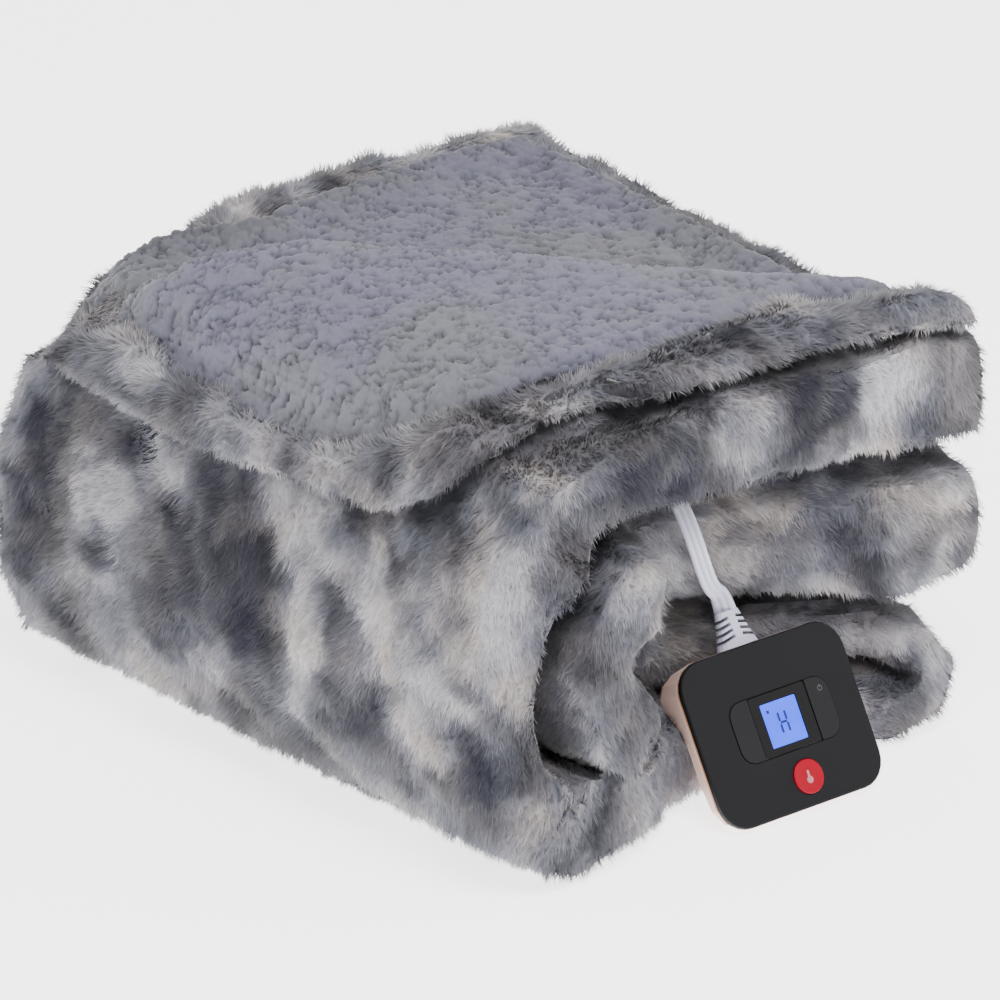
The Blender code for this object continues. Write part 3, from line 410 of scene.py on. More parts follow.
def fuller_fronts(points, normals):
    """The rolls' ends a little squarer, so that the gaps between them look narrow."""
    cell, left_end, behind, reach = 0.008, -0.22, 0.3, 3
    across = np.floor((points[:, 0] - left_end) / cell).astype(int)
    up = np.floor(points[:, 2] / cell).astype(int)
    front = np.full((56, 36), behind)
    np.minimum.at(front, (across, up), points[:, 1])
    padded = np.pad(front, reach, constant_values=behind)
    windows = np.lib.stride_tricks.sliding_window_view(padded, (2 * reach + 1, 2 * reach + 1))
    front = smoothed(windows.min(axis=(2, 3)))
    nearest = front[across, up]
    share = np.clip((points[:, 1] - nearest) / ROLL_ROUNDING, 0.0, 1.0)
    wide = 1 - (1 - share) ** 2
    fuller = nearest + ROLL_ROUNDING * (1 - np.clip(1 - wide**3, 0, 1) ** (1 / 6))
    moved = np.minimum(fuller - points[:, 1], 0.0) * (share < 1.0)
    moved *= fade(normals[:, 1], 0.6, -0.4) * (points[:, 1] < -0.10)
    moved *= fade(points[:, 0], -0.165, 0.02)
    low, high = CLEAR_BOX
    outside = np.linalg.norm(np.maximum(low - points[:, (0, 2)], points[:, (0, 2)] - high).clip(0), axis=1)
    moved *= smooth_step(outside / 0.02)
    inner = window(points[:, 0], -0.142, 0.010, -0.040, 0.035)
    inner = inner * window(points[:, 2], 0.036, 0.018, 0.186, 0.012)
    return moved - INNER_PUSH * inner * fade(points[:, 1], -0.105, -0.035)


def fuller_gap(points, normals):
    """The rise of the lowest roll's top and the drop of what lies over it, to narrow the gap between."""
    x, y, z = points.T
    here = window(x, -0.150, 0.015, -0.015, 0.02) * fade(y, -0.08, -0.03)
    below = window(z, 0.020, 0.010, 0.052, 0.006) * smooth_step(normals[:, 2] / 0.4)
    above = window(z, 0.054, 0.006, 0.090, 0.015) * smooth_step(-normals[:, 2] / 0.4)
    return here * (GAP_RISE * below - GAP_DROP * above)


def relax(points, triangles, weights, rounds):
    """Rounds off the points, in pairs of steps that keep the size."""
    edges = np.vstack([triangles[:, [0, 1]], triangles[:, [1, 2]], triangles[:, [2, 0]]])
    count = np.bincount(edges.ravel(), minlength=len(points))[:, None]
    for k in range(2 * rounds):
        total = np.zeros_like(points)
        for axis in range(3):
            total[:, axis] = np.bincount(edges[:, 0], points[edges[:, 1], axis], len(points))
            total[:, axis] += np.bincount(edges[:, 1], points[edges[:, 0], axis], len(points))
        step = 0.5 if k % 2 == 0 else -0.52
        points = points + (total / np.maximum(count, 1) - points) * (step * weights[:, None])
    return points


def dye(points):
    """How dark the fur is painted, from 0, pale, to 1, charcoal: its dye, and painted shade that darkens the
    smooth -X side.
    """
    warped = points + 0.009 * soft_noise(points, 0.026, 5, 3) + 0.004 * soft_noise(points, 0.010, 6, 3)
    value = 0.42 + 0.20 * soft_noise(warped, 0.040, 7) + 0.19 * soft_noise(warped, 0.015, 8)
    for *place, radius, strength in DYE_PATCHES:
        near = ((warped - np.array(place) / 1000) ** 2).sum(axis=1) / (1.08 * (radius / 1000)) ** 2
        value += strength / 100 * np.exp(-near)
    # painted shade: the smooth -X side a little darker, as less light falls on it
    smooth_side_shade = fade(points[:, 0], -0.150, -0.02)
    return np.clip(0.54 + 1.36 * (value - 0.5) + 0.07 * smooth_side_shade, 0.0, 1.0)


def nap(points, normals):
    """The way the pile lies: outwards and down, in slow swirls."""
    outward = points - np.array([0.0, 0.0, 0.12])
    outward[:, 2] = 0.0
    way = unit(outward) * 0.55 + np.array([0.0, 0.0, -1.0])
    way += 0.60 * soft_noise(points, 0.060, 11, 3) + 0.35 * soft_noise(points, 0.022, 12, 3)
    return unit(flattened(way, normals))


def towards_camera():
    """The direction from the blanket to the camera."""
    flat = math.cos(CAMERA_ELEVATION)
    across, back = math.sin(CAMERA_AZIMUTH), -math.cos(CAMERA_AZIMUTH)
    return Vector((across * flat, back * flat, math.sin(CAMERA_ELEVATION)))


def inside_box(points, margin):
    """The points, moved into the CAD model's box and this far round it, and above the floor."""
    low, high = np.array(CAD_BOX)
    low = low - margin
    low[2] = 0.0006
    return np.clip(points, low, high + margin)


# ---- settings and materials
def colour_setting(name, description, default):
    return FloatVectorProperty(name=name, description=description, subtype="COLOR", size=3, default=default)


def length_setting(name, description, default):
    return FloatProperty(name=name, description=description, default=default, unit="LENGTH")


class FurSettings(bpy.types.PropertyGroup):
    pile: length_setting("Pile", "Length of the fur", 0.0059)
    strand: length_setting("Strand", "Width of a tuft of hairs", 0.00064)
    strands: IntProperty(name="Strands", description="Number of strands", default=590000)
    inset: length_setting("Inset", "Cloth under the pile's surface", 0.0036)
    facet: length_setting("Facet", "Longest edge of the cloth", 0.0080)
    pale: colour_setting("Pale", "Undyed fur", (0.52, 0.50, 0.495))
    middle: colour_setting("Middle", "Mid grey fur", (0.150, 0.150, 0.170))
    dark: colour_setting("Dark", "Charcoal fur", (0.016, 0.016, 0.029))


class SherpaSettings(bpy.types.PropertyGroup):
    nub: length_setting("Nub", "Size of a curl", 0.0044)
    height: length_setting("Height", "Height of a curl", 0.0030)
    colour: colour_setting("Colour", "Lining", (0.124, 0.122, 0.148))


class ControllerSettings(bpy.types.PropertyGroup):
    shell: colour_setting("Shell", "Housing", (0.72, 0.50, 0.42))
    seam: colour_setting("Seam", "Edge line of the housing", (0.42, 0.20, 0.10))
    screen: colour_setting("Screen", "Lit display", (0.016, 0.065, 0.80))
    button: colour_setting("Button", "Round button", (0.27, 0.0008, 0.012))
    lead: colour_setting("Lead", "Lead and strain relief", (0.50, 0.50, 0.60))


def new_material(name, roughness):
    made = bpy.data.materials.new(name)
    made.use_nodes = True
    shader = made.node_tree.nodes["Principled BSDF"]
    shader.inputs["Roughness"].default_value = roughness
    return made, shader


def add_node(tree, kind, settings=None, **inputs):
    """A node with its settings and, by socket name, its values or the sockets linked to it."""
    node = tree.nodes.new(kind)
    for key, value in (settings or {}).items():
        setattr(node, key, value)
    for key, value in inputs.items():
        socket = node.inputs[int(key[1:])] if key[0] == "_" else node.inputs[key]
        if isinstance(value, bpy.types.NodeSocket):
            tree.links.new(value, socket)
        else:
            socket.default_value = value
    return node


def ramp(tree, value, stops):
    """A colour ramp of (place, colour) stops."""
    node = add_node(tree, "ShaderNodeValToRGB", Fac=value)
    elements = node.color_ramp.elements
    while len(elements) < len(stops):
        elements.new(0.5)
    for element, (place, colour) in zip(elements, stops):
        element.position = place
        element.color = (*colour, 1.0)
    return node.outputs["Color"]


def attribute_value(tree, name):
    return add_node(tree, "ShaderNodeAttribute", {"attribute_name": name}).outputs["Fac"]


def object_place(tree):
    return add_node(tree, "ShaderNodeTexCoord").outputs["Object"]


def noise_value(tree, place, scale, detail):
    return add_node(tree, "ShaderNodeTexNoise", Vector=place, Scale=scale, Detail=detail).outputs["Fac"]


def multiplied(tree, one, other):
    """One colour times the other, as a socket."""
    settings = {"data_type": "RGBA", "blend_type": "MULTIPLY"}
    return add_node(tree, "ShaderNodeMix", settings, _0=1.0, _6=one, _7=other).outputs[2]


def roughened(tree, shader, height, strength, distance):
    """Gives the shader a bump of this height."""
    bump = add_node(tree, "ShaderNodeBump", Strength=strength, Distance=distance, Height=height)
    tree.links.new(bump.outputs[0], shader.inputs["Normal"])


def grey_stops(*stops):
    """Stops of a colour ramp, from places and levels of grey with a little more or less blue."""
    return [(place, (level, level, level + blue)) for place, level, blue in stops]


def fur_material():
    settings = bpy.context.scene.blanket_fur
    made, shader = new_material("tie_dyed_fur", 0.85)
    tree = made.node_tree
    shader.inputs["Sheen Weight"].default_value = 0.25
    shader.inputs["Sheen Roughness"].default_value = 0.5
    shader.inputs["Specular IOR Level"].default_value = 0.12
    dark = attribute_value(tree, "dye")
    strand = attribute_value(tree, "strand")
    varied = add_node(tree, "ShaderNodeMath", {"operation": "MULTIPLY_ADD"}, _0=strand, _1=0.10, _2=dark)
    pale, middle, deep = (np.array(colour) for colour in (settings.pale, settings.middle, settings.dark))
    stops = [(0.0, pale), (0.24, 0.74 * pale), (0.50, middle), (0.78, 0.4 * middle), (1.0, deep)]
    colour = ramp(tree, varied.outputs[0], stops)
    warm = noise_value(tree, object_place(tree), 22.0, 2.0)
    warmth = ramp(tree, warm, [(0.42, (0.97, 0.985, 1.06)), (0.62, (1.06, 0.99, 0.95))])
    # painted shade: the fur darker at the strands' roots and where the cloth lies closed in; the paler tips
    # are the fur's own frosted tips
    rise = attribute_value(tree, "rise")
    root_shade_pale_tips = ramp(tree, rise, grey_stops((0.0, 0.45, 0.01), (0.45, 0.85, 0.0), (1.0, 1.12, 0.0)))
    close = attribute_value(tree, "shade")
    groove = ramp(tree, close, grey_stops((0.10, 0.46, 0.02), (0.50, 0.78, 0.01), (0.90, 1.0, 0.0)))
    for layer in (warmth, root_shade_pale_tips, groove):
        colour = multiplied(tree, colour, layer)
    tree.links.new(colour, shader.inputs["Base Color"])
    return made


def material_once(name, make):
    return bpy.data.materials.get(name) or make()


# ---- the fur cloth and its pile
class BLANKET_OT_fur_cloth(bpy.types.Operator):
    """The folded fur cloth under the pile"""

    bl_idname = "blanket.fur_cloth"
    bl_label = "Fur cloth"

    def execute(self, context):
        settings = context.scene.blanket_fur
        cloth = copy_of_node("fur_throw", "fur_cloth")
        tree = refine(cloth, settings.facet)
        mesh = cloth.data
        open_share = exposure(mesh, tree, 7, SKY_REACH)
        points, _, triangles = arrays(mesh)
        shows = np.clip(open_share * 4, 0.0, 1.0)
        rounded = relax(points, triangles, shows, 4)
        moved = rounded - points
        far = np.linalg.norm(moved, axis=1)[:, None]
        points = points + moved * np.minimum(1.0, SHIFT_LIMIT / np.maximum(far, 1e-9))
        points, normals, _ = set_points(mesh, points)
        points[:, 1] += fuller_fronts(points, normals) * shows
        points[:, 2] += fuller_gap(points, normals)
        points, normals, _ = set_points(mesh, points)
        tree = BVHTree.FromPolygons(points.tolist(), triangles.tolist())
        close_share = exposure(mesh, tree, 12, FOLD_REACH)
        lumps = 0.0040 * soft_noise(points, 0.046, 21) + 0.0034 * soft_noise(points, 0.020, 22)
        under = np.clip((normals[:, 2] + 0.5) / 0.5, 0.0, 1.0)
        deepest = -INSET_SHARE * thickness(points, normals, tree)
        move = np.maximum(lumps * under - settings.inset, deepest) * shows
        points = inside_box(points + normals * move[:, None], 0.0)
        set_points(mesh, points)
        grain = soft_noise(points, 0.003, 23)
        # rise here is painted shade: the cloth under the pile darker where less of the sky is open to it
        set_attributes(mesh, dye=dye(points), strand=grain, rise=0.15 + 0.25 * open_share)
        set_attributes(mesh, open=open_share, shade=close_share)
        mesh.materials.append(material_once("tie_dyed_fur", fur_material))
        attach(cloth, BLANKET)
        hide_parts("fur_throw")
        return {"FINISHED"}


def attribute(mesh, name):
    return values_of(mesh.attributes[name].data, "value", 1, np.float32)[:, 0]


def rim_spots():
    """Places along the lining's edge, in X and Y, spaced about a millimetre."""
    bm = bmesh.new()
    bm.from_mesh(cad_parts["sherpa_lining"].data)
    bmesh.ops.remove_doubles(bm, verts=bm.verts, dist=JOIN_DISTANCE)
    bm.normal_update()
    spots = []
    for edge in bm.edges:
        if len(edge.link_faces) == 2 and edge.calc_face_angle(0.0) > math.radians(70):
            one, two = (vert.co for vert in edge.verts)
            spots += [tuple(one.lerp(two, k / 12))[:2] for k in range(12)]
    bm.free()
    spots = [spot for spot in spots if not inside_outline(*spot, CORNER_OUTLINE)]
    for one, two in zip(CORNER_OUTLINE[:8], CORNER_OUTLINE[1:9]):
        spots += [tuple(np.array(one) + (np.array(two) - one) * k / 20) for k in range(20)]
    return spread(np.array(spots))


def spread(points):
    """Carries the lining's points outwards, in X and Y, to meet the hems."""
    middle = np.array(LINING_MIDDLE)
    moved = np.array(points, float)
    away = moved[:, :2] - middle
    share = np.clip(away.sum(axis=1) / 0.16, 0, 1)[:, None]
    moved[:, :2] = middle + away * (LINING_SPREAD + FAR_SPREAD * share)
    return moved


def rim_offsets(points):
    """The way in X and Y from each point to the lining's nearest edge, looked up on a grid."""
    cell = 0.0025
    xs = np.arange(-0.21, 0.21, cell)
    ys = np.arange(-0.24, 0.24, cell)
    spots = rim_spots()
    offsets = np.zeros((len(xs), len(ys), 2))
    for i, x in enumerate(xs):
        places = np.column_stack([np.full(len(ys), x), ys])
        away = spots[None, :, :] - places[:, None, :]
        nearest = (away**2).sum(axis=2).argmin(axis=1)
        offsets[i] = away[np.arange(len(ys)), nearest]
    i = np.clip(np.rint((points[:, 0] - xs[0]) / cell).astype(int), 0, len(xs) - 1)
    k = np.clip(np.rint((points[:, 1] - ys[0]) / cell).astype(int), 0, len(ys) - 1)
    return offsets[i, k]


def rim_pull(points):
    """The push of the pile over the lining's edge, as a vector, and how near the edge lies, 0 to 1."""
    offsets = rim_offsets(points)
    far = np.linalg.norm(offsets, axis=1)
    near = (1 - smooth_step(far / 0.020)) * (points[:, 2] > HEM_HEIGHT)
    pull = np.zeros((len(points), 3))
    pull[:, :2] = offsets / np.maximum(far, 1e-6)[:, None] * near[:, None]
    return pull, near


def inside_outline(x, y, outline):
    """Whether a place lies inside a closed outline."""
    inside = False
    for (x1, y1), (x2, y2) in zip(outline, outline[1:] + outline[:1]):
        if (y1 > y) != (y2 > y) and x < x1 + (y - y1) * (x2 - x1) / (y2 - y1):
            inside = not inside
    return inside


def scatter(mesh, settings, random):
    """Roots of the strands, their normals, widths and open share, closest set where they show."""
    points, normals, triangles = arrays(mesh)
    open_share = attribute(mesh, "open")
    corners = points[triangles]
    area = np.linalg.norm(np.cross(corners[:, 1] - corners[:, 0], corners[:, 2] - corners[:, 0]), axis=1) / 2
    facing = normals[triangles].mean(axis=1) @ np.array(towards_camera())
    coarse = np.where(facing > -0.25, 1.0, FAR_DENSITY)
    base = (normals[triangles].mean(axis=1)[:, 2] < -0.75) & (corners[:, :, 2].mean(axis=1) < 0.01)
    coarse = np.where(base, BASE_DENSITY, coarse)
    wanted = area * coarse * np.clip(open_share[triangles].mean(axis=1) * 5, 0, 1)
    wanted *= settings.strands * 1.0 / wanted.sum()
    picks = np.repeat(np.arange(len(area)), random.poisson(wanted))
    share = random.random((len(picks), 2))
    flip = share.sum(axis=1) > 1
    share[flip] = 1 - share[flip]
    weights = np.column_stack([1 - share.sum(axis=1), share])
    roots = np.einsum("ij,ijk->ik", weights, corners[picks])
    outs = unit(np.einsum("ij,ijk->ik", weights, normals[triangles[picks]]))
    wide = np.where(coarse[picks] < 1.0, FAR_WIDTH, 1.0) * 1.0
    shade = np.einsum("ij,ij->i", weights, attribute(mesh, "shade")[triangles[picks]])
    return roots, outs, wide, shade


def blades_of(roots, outs, wide, shade, settings, random):
    """The feet, half widths and tips of the strands, drawn together in tufts."""
    count = len(roots)
    rim, rim_near = rim_pull(roots)
    way = unit(flattened(nap(roots, outs) + 1.8 * rim, outs))
    side = np.cross(outs, way)
    turn = random.normal(0.0, TURN_SCATTER, count)[:, None]
    way = way * np.cos(turn) + side * np.sin(turn)
    drift = LEAN_DRIFT * soft_noise(roots, 0.013, 33)
    lean = np.radians(PILE_LEAN + drift + random.normal(0, LEAN_SCATTER, count))[:, None]
    length = settings.pile * (0.72 + 0.5 * random.random(count)) * (0.5 + 0.5 * shade)
    length = (length * (1 + 0.35 * rim_near))[:, None]
    grow = way * np.cos(lean) + outs * np.sin(lean)
    broad = scattered(roots + 0.002 * soft_noise(roots, 0.006, 35, 3), BROAD_TUFT, 36)[2] - roots
    small = scattered(roots, SMALL_TUFT, 37)[2] - roots
    tufts = BROAD_PULL * flattened(broad, outs) + SMALL_PULL * flattened(small, outs)
    tips = inside_box(roots + grow * length + tufts + 0.0016 * soft_noise(roots, 0.0075, 34, 3), PILE_ROOM)
    side = unit(np.cross(grow, outs)) * (settings.strand / 2)
    side *= (wide * (0.7 + 0.6 * random.random(count)))[:, None]
    feet = inside_box(roots - outs * 0.0006, 0.001)
    return feet, side, tips


class BLANKET_OT_fur_pile(bpy.types.Operator):
    """The pile of the fur, strand by strand"""

    bl_idname = "blanket.fur_pile"
    bl_label = "Fur pile"

    def execute(self, context):
        settings = context.scene.blanket_fur
        random = np.random.default_rng(31)
        roots, outs, wide, shade = scatter(bpy.data.objects["fur_cloth"].data, settings, random)
        feet, side, tips = blades_of(roots, outs, wide, shade, settings, random)
        count = len(roots)
        darkness = dye(roots)
        tone = random.normal(0, 0.6, count)
        shading = unit(outs + 0.45 * unit(tips - feet) + random.normal(0, 0.10, (count, 3)))
        material = material_once("tie_dyed_fur", fur_material)
        pieces = math.ceil(count / PIECE_STRANDS)
        for k in range(pieces):
            part = slice(k * count // pieces, (k + 1) * count // pieces)
            blades = np.stack([feet[part] - side[part], feet[part] + side[part], tips[part]], axis=1)
            number = len(blades)
            pile = bpy.data.meshes.new(f"fur_pile_{k + 1}")
            order = np.arange(3 * number, dtype=np.int32)
            pile.vertices.add(len(order))
            pile.vertices.foreach_set("co", blades.astype(np.float32).ravel())
            pile.loops.add(len(order))
            pile.loops.foreach_set("vertex_index", order)
            pile.polygons.add(number)
            pile.polygons.foreach_set("loop_start", order[::3].copy())
            pile.update(calc_edges=True)
            pile.shade_smooth()
            pile.normals_split_custom_set_from_vertices(np.repeat(shading[part], 3, axis=0))
            set_attributes(pile, dye=np.repeat(darkness[part], 3), strand=np.repeat(tone[part], 3))
            # rise here is painted shade, dark at each strand's root; the paler tip is the fur's own frosted
            # tip
            set_attributes(pile, rise=np.tile([0.1, 0.1, 1.0], number), shade=np.repeat(shade[part], 3))
            pile.materials.append(material)
            piece = link_piece(f"fur_pile_{k + 1}", pile)
            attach(piece, BLANKET)
        return {"FINISHED"}


# ---- the lining
def sherpa_material():
    settings = bpy.context.scene.blanket_sherpa
    made, shader = new_material("sherpa_curls", 0.95)
    tree = made.node_tree
    shader.inputs["Sheen Weight"].default_value = 0.3
    shader.inputs["Specular IOR Level"].default_value = 0.1
    colour = np.array(settings.colour)
    # painted shade: the lining darkest down in the hollows between its curls, brightest on their tops
    stops = [(0.0, colour * 0.20), (0.35, colour * 0.58), (0.8, colour), (1.0, colour * 1.15)]
    tone = ramp(tree, attribute_value(tree, "rise"), stops)
    place = object_place(tree)
    tints = [(0.40, (0.96, 0.96, 1.10)), (0.60, (1.04, 1.06, 1.00))]
    tint = ramp(tree, noise_value(tree, place, 11.0, 3.0), tints)
    shaded = multiplied(tree, multiplied(tree, tone, tint), attribute_value(tree, "shade"))
    tree.links.new(shaded, shader.inputs["Base Color"])
    roughened(tree, shader, noise_value(tree, place, 1500.0, 3.0), 0.35, 0.0004)
    return made


def corner_patch(lining):
    """Carries the lining on over the bend at its left end, as far as the hems."""
    bm = bmesh.new()
    bm.from_mesh(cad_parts["fur_throw"].data)
    fur = BVHTree.FromBMesh(bm)
    bm.free()
    xs = np.arange(-0.160, -0.020, PATCH_CELL)
    ys = np.arange(0.060, 0.196, PATCH_CELL)
    heights = np.full((len(xs), len(ys)), np.nan)
    for i, x in enumerate(xs):
        for k, y in enumerate(ys):
            hit = fur.ray_cast(Vector((x, y, 0.4)), Vector((0, 0, -1)))[0]
            heights[i, k] = hit.z if hit else 0.19
    for _ in range(3):
        heights = smoothed(heights)
    bm = bmesh.new()
    bm.from_mesh(lining.data)
    for i, k in np.ndindex(len(xs) - 1, len(ys) - 1):
        if not inside_outline(xs[i], ys[k], CORNER_OUTLINE):
            continue
        corners = [(i, k), (i + 1, k), (i + 1, k + 1), (i, k + 1)]
        low = [bm.verts.new((xs[a], ys[b], heights[a, b] - 0.003)) for a, b in corners]
        top = [bm.verts.new((xs[a], ys[b], heights[a, b] + PATCH_RISE)) for a, b in corners]
        bm.faces.new(low[::-1])
        bm.faces.new(top)
        for one in range(4):
            two = (one + 1) % 4
            bm.faces.new((low[one], low[two], top[two], top[one]))
    bm.to_mesh(lining.data)
    bm.free()


def past_ridge(points):
    """How far the points lie past the turned-back corner's ridge; less than 0 is on the corner."""
    nearest = np.full(len(points), 9.0)
    signed = np.zeros(len(points))
    for start, end in zip(RIDGE_LINE, RIDGE_LINE[1:]):
        start, end = np.array(start), np.array(end)
        along = end - start
        share = np.clip((points[:, :2] - start) @ along / (along @ along), 0, 1)
        off = points[:, :2] - start - share[:, None] * along
        far = np.linalg.norm(off, axis=1)
        sign = np.sign(along[0] * off[:, 1] - along[1] * off[:, 0])
        signed = np.where(far < nearest, far * sign, signed)
        nearest = np.minimum(nearest, far)
    return signed


class BLANKET_OT_sherpa(bpy.types.Operator):
    """The curly lining that shows on the turned-back corner and beyond its ridge"""

    bl_idname = "blanket.sherpa"
    bl_label = "Sherpa lining"

    def execute(self, context):
        settings = context.scene.blanket_sherpa
        lining = copy_of_node("sherpa_lining", "sherpa_pile")
        corner_patch(lining)
        choose(lining)
        remesh = lining.modifiers.new("fine", "REMESH")
        remesh.mode = "VOXEL"
        remesh.voxel_size = LINING_VOXEL
        bpy.ops.object.modifier_apply(modifier="fine")
        mesh = lining.data
        mesh.shade_smooth()
        points, _, triangles = arrays(mesh)
        points = relax(points, triangles, np.ones(len(points)), 4)
        seam_place = np.linalg.norm(points[:, :2] - np.array(PATCH_SEAM), axis=1)
        points = relax(points, triangles, 1 - fade(seam_place, 0.055, 0.02), 14)
        points = spread(points)
        rim = np.linalg.norm(rim_offsets(points), axis=1)
        points, normals, _ = set_points(mesh, points)
        warped = points + 0.0022 * soft_noise(points, 0.009, 41, 3)
        warped += 0.0009 * soft_noise(points, 0.003, 42, 3)
        warped[:, 2] *= 0.5
        warped = warped @ np.array(Matrix.Rotation(math.radians(35), 3, "Z")).T
        warped[:, 0] *= 0.72
        near, far, _ = scattered(warped, settings.nub, 43)
        small, other, _ = scattered(warped + 0.5, settings.nub * 0.5, 44)
        broken = smooth_step(0.6 + 0.9 * soft_noise(warped, 0.0040, 46))
        seam = 1 - (1 - np.clip((far - near) / 0.36, 0, 1)) * broken
        fine_seam = np.clip((other - small) / 0.5, 0, 1)
        # rise: the curls' height, also painted as shade in the hollows between them
        rise = np.sqrt(seam) * (0.78 + 0.22 * np.sqrt(fine_seam))
        up = np.clip(normals[:, 2] * 2 + 0.4, 0, 1)
        height = (rise - 0.6) * settings.height + 0.0012 * soft_noise(points, 0.03, 45)
        points = points + normals * (height * up)[:, None]
        above = np.clip((normals[:, 2] + 0.6) / 0.3, 0, 1)
        past = past_ridge(points)
        far_side = fade(past, 0.010, 0.020)
        left = fade(points[:, 0], -0.108, -0.025)
        lifted = far_side * fade(points[:, 0], -0.10, 0.06)
        points[:, 2] -= RIM_SINK * (1 - smooth_step(rim / 0.013)) * above * (1 - far_side)
        points[:, 2] -= LEFT_SINK * (1 - smooth_step(rim / 0.020)) * left
        points[:, 2] += FAR_LIFT * (1 - smooth_step(rim / 0.030)) * lifted
        behind = smooth_step(past / 0.004) * (1 - fade(past, 0.008, 0.020))
        points[:, 2] -= RIDGE_DIP * behind * above
        set_points(mesh, points)
        # painted shadow past the ridge, darkest just behind it, and a painted highlight along the ridge's
        # crest
        beyond = fade(past, -0.001, 0.003)
        shade = 1 - beyond * (0.16 + 0.44 * (1 - fade(past, 0.002, 0.020)))
        shade *= 1 + 0.10 * np.exp(-(((past + 0.005) / 0.004) ** 2))
        # and painted shade along the lining's edge, under the hem
        set_attributes(mesh, rise=rise, shade=shade * (0.80 + 0.20 * smooth_step(rim / 0.009)))
        mesh.materials.append(material_once("sherpa_curls", sherpa_material))
        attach(lining, BLANKET)
        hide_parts("sherpa_lining")
        return {"FINISHED"}


# ---- the lead and the controller
def on_face(x, y, z):
    """A place in the controller's own frame."""
    return FACE_MIDDLE + FACE_ACROSS * x + FACE_UP * y + FACE_OUT * z


def face_matrix(x, y, z):
    turn = Matrix((FACE_ACROSS, FACE_UP, FACE_OUT)).transposed().to_4x4()
    return Matrix.Translation(on_face(x, y, z)) @ turn


def distance_from_face(tree):
    """How far a shaded point of a piece lies in front of the plate's face, as a socket."""
    place = object_place(tree)
    dot = add_node(tree, "ShaderNodeVectorMath", {"operation": "DOT_PRODUCT"}, _0=place, _1=tuple(FACE_OUT))
    height, base = dot.outputs["Value"], FACE_MIDDLE.dot(FACE_OUT)
    return add_node(tree, "ShaderNodeMath", {"operation": "SUBTRACT"}, _0=height, _1=base).outputs[0]


def mottled(name, colour, roughness, scale, drift=0.06, grain=0.25, specular=0.5):
    """A plain material with a faint drift of its colour and a fine grain."""
    made, shader = new_material(name, roughness)
    tree = made.node_tree
    place = object_place(tree)
    colour = np.array(colour)
    stops = [(0.3, colour * (1 - drift)), (0.7, colour * (1 + drift))]
    tone = ramp(tree, noise_value(tree, place, scale, 3.0), stops)
    tree.links.new(tone, shader.inputs["Base Color"])
    roughened(tree, shader, noise_value(tree, place, 2600.0, 2.0), grain, 0.00006)
    shader.inputs["Specular IOR Level"].default_value = specular
    return made, shader, tone


def shell_material():
    settings = bpy.context.scene.blanket_controller
    made, shader, tone = mottled("rose_shell", settings.shell, 0.42, 30.0, 0.03, 0.3)
    shader.inputs["Metallic"].default_value = 0.10
    tree = made.node_tree
    away = distance_from_face(tree)
    near = add_node(tree, "ShaderNodeMath", {"operation": "GREATER_THAN"}, _0=away, _1=PLATE_BACK - 0.0009)
    mix = add_node(tree, "ShaderNodeMix", {"data_type": "RGBA"}, _0=near.outputs[0], _6=tone)
    mix.inputs[7].default_value = (*settings.seam, 1.0)
    tree.links.new(mix.outputs[2], shader.inputs["Base Color"])
    return made


def screen_material():
    settings = bpy.context.scene.blanket_controller
    made, shader, tone = mottled("lit_screen", settings.screen, 0.3, 60.0, 0.10, 0.0)
    made.node_tree.links.new(tone, shader.inputs["Emission Color"])
    shader.inputs["Emission Strength"].default_value = 0.75
    return made


def lead_material():
    settings = bpy.context.scene.blanket_controller
    return mottled("lead_grey", settings.lead, 0.55, 40.0, 0.05, 0.3)[0]


def strand_outline():
    """The lead's section: three strands side by side in one jacket, as (across, out)."""
    upper = []
    for middle in (-1, 0, 1):
        for k in range(7):
            angle = math.pi * (1 - k / 6)
            if abs(middle) == 1 and middle * math.cos(angle) > 0 or abs(math.cos(angle)) < 0.93:
                x = middle * LEAD_PITCH + LEAD_STRAND * math.cos(angle)
                upper.append((x, LEAD_STRAND * math.sin(angle)))
    return upper + [(x, -z) for x, z in upper[-2:0:-1]]


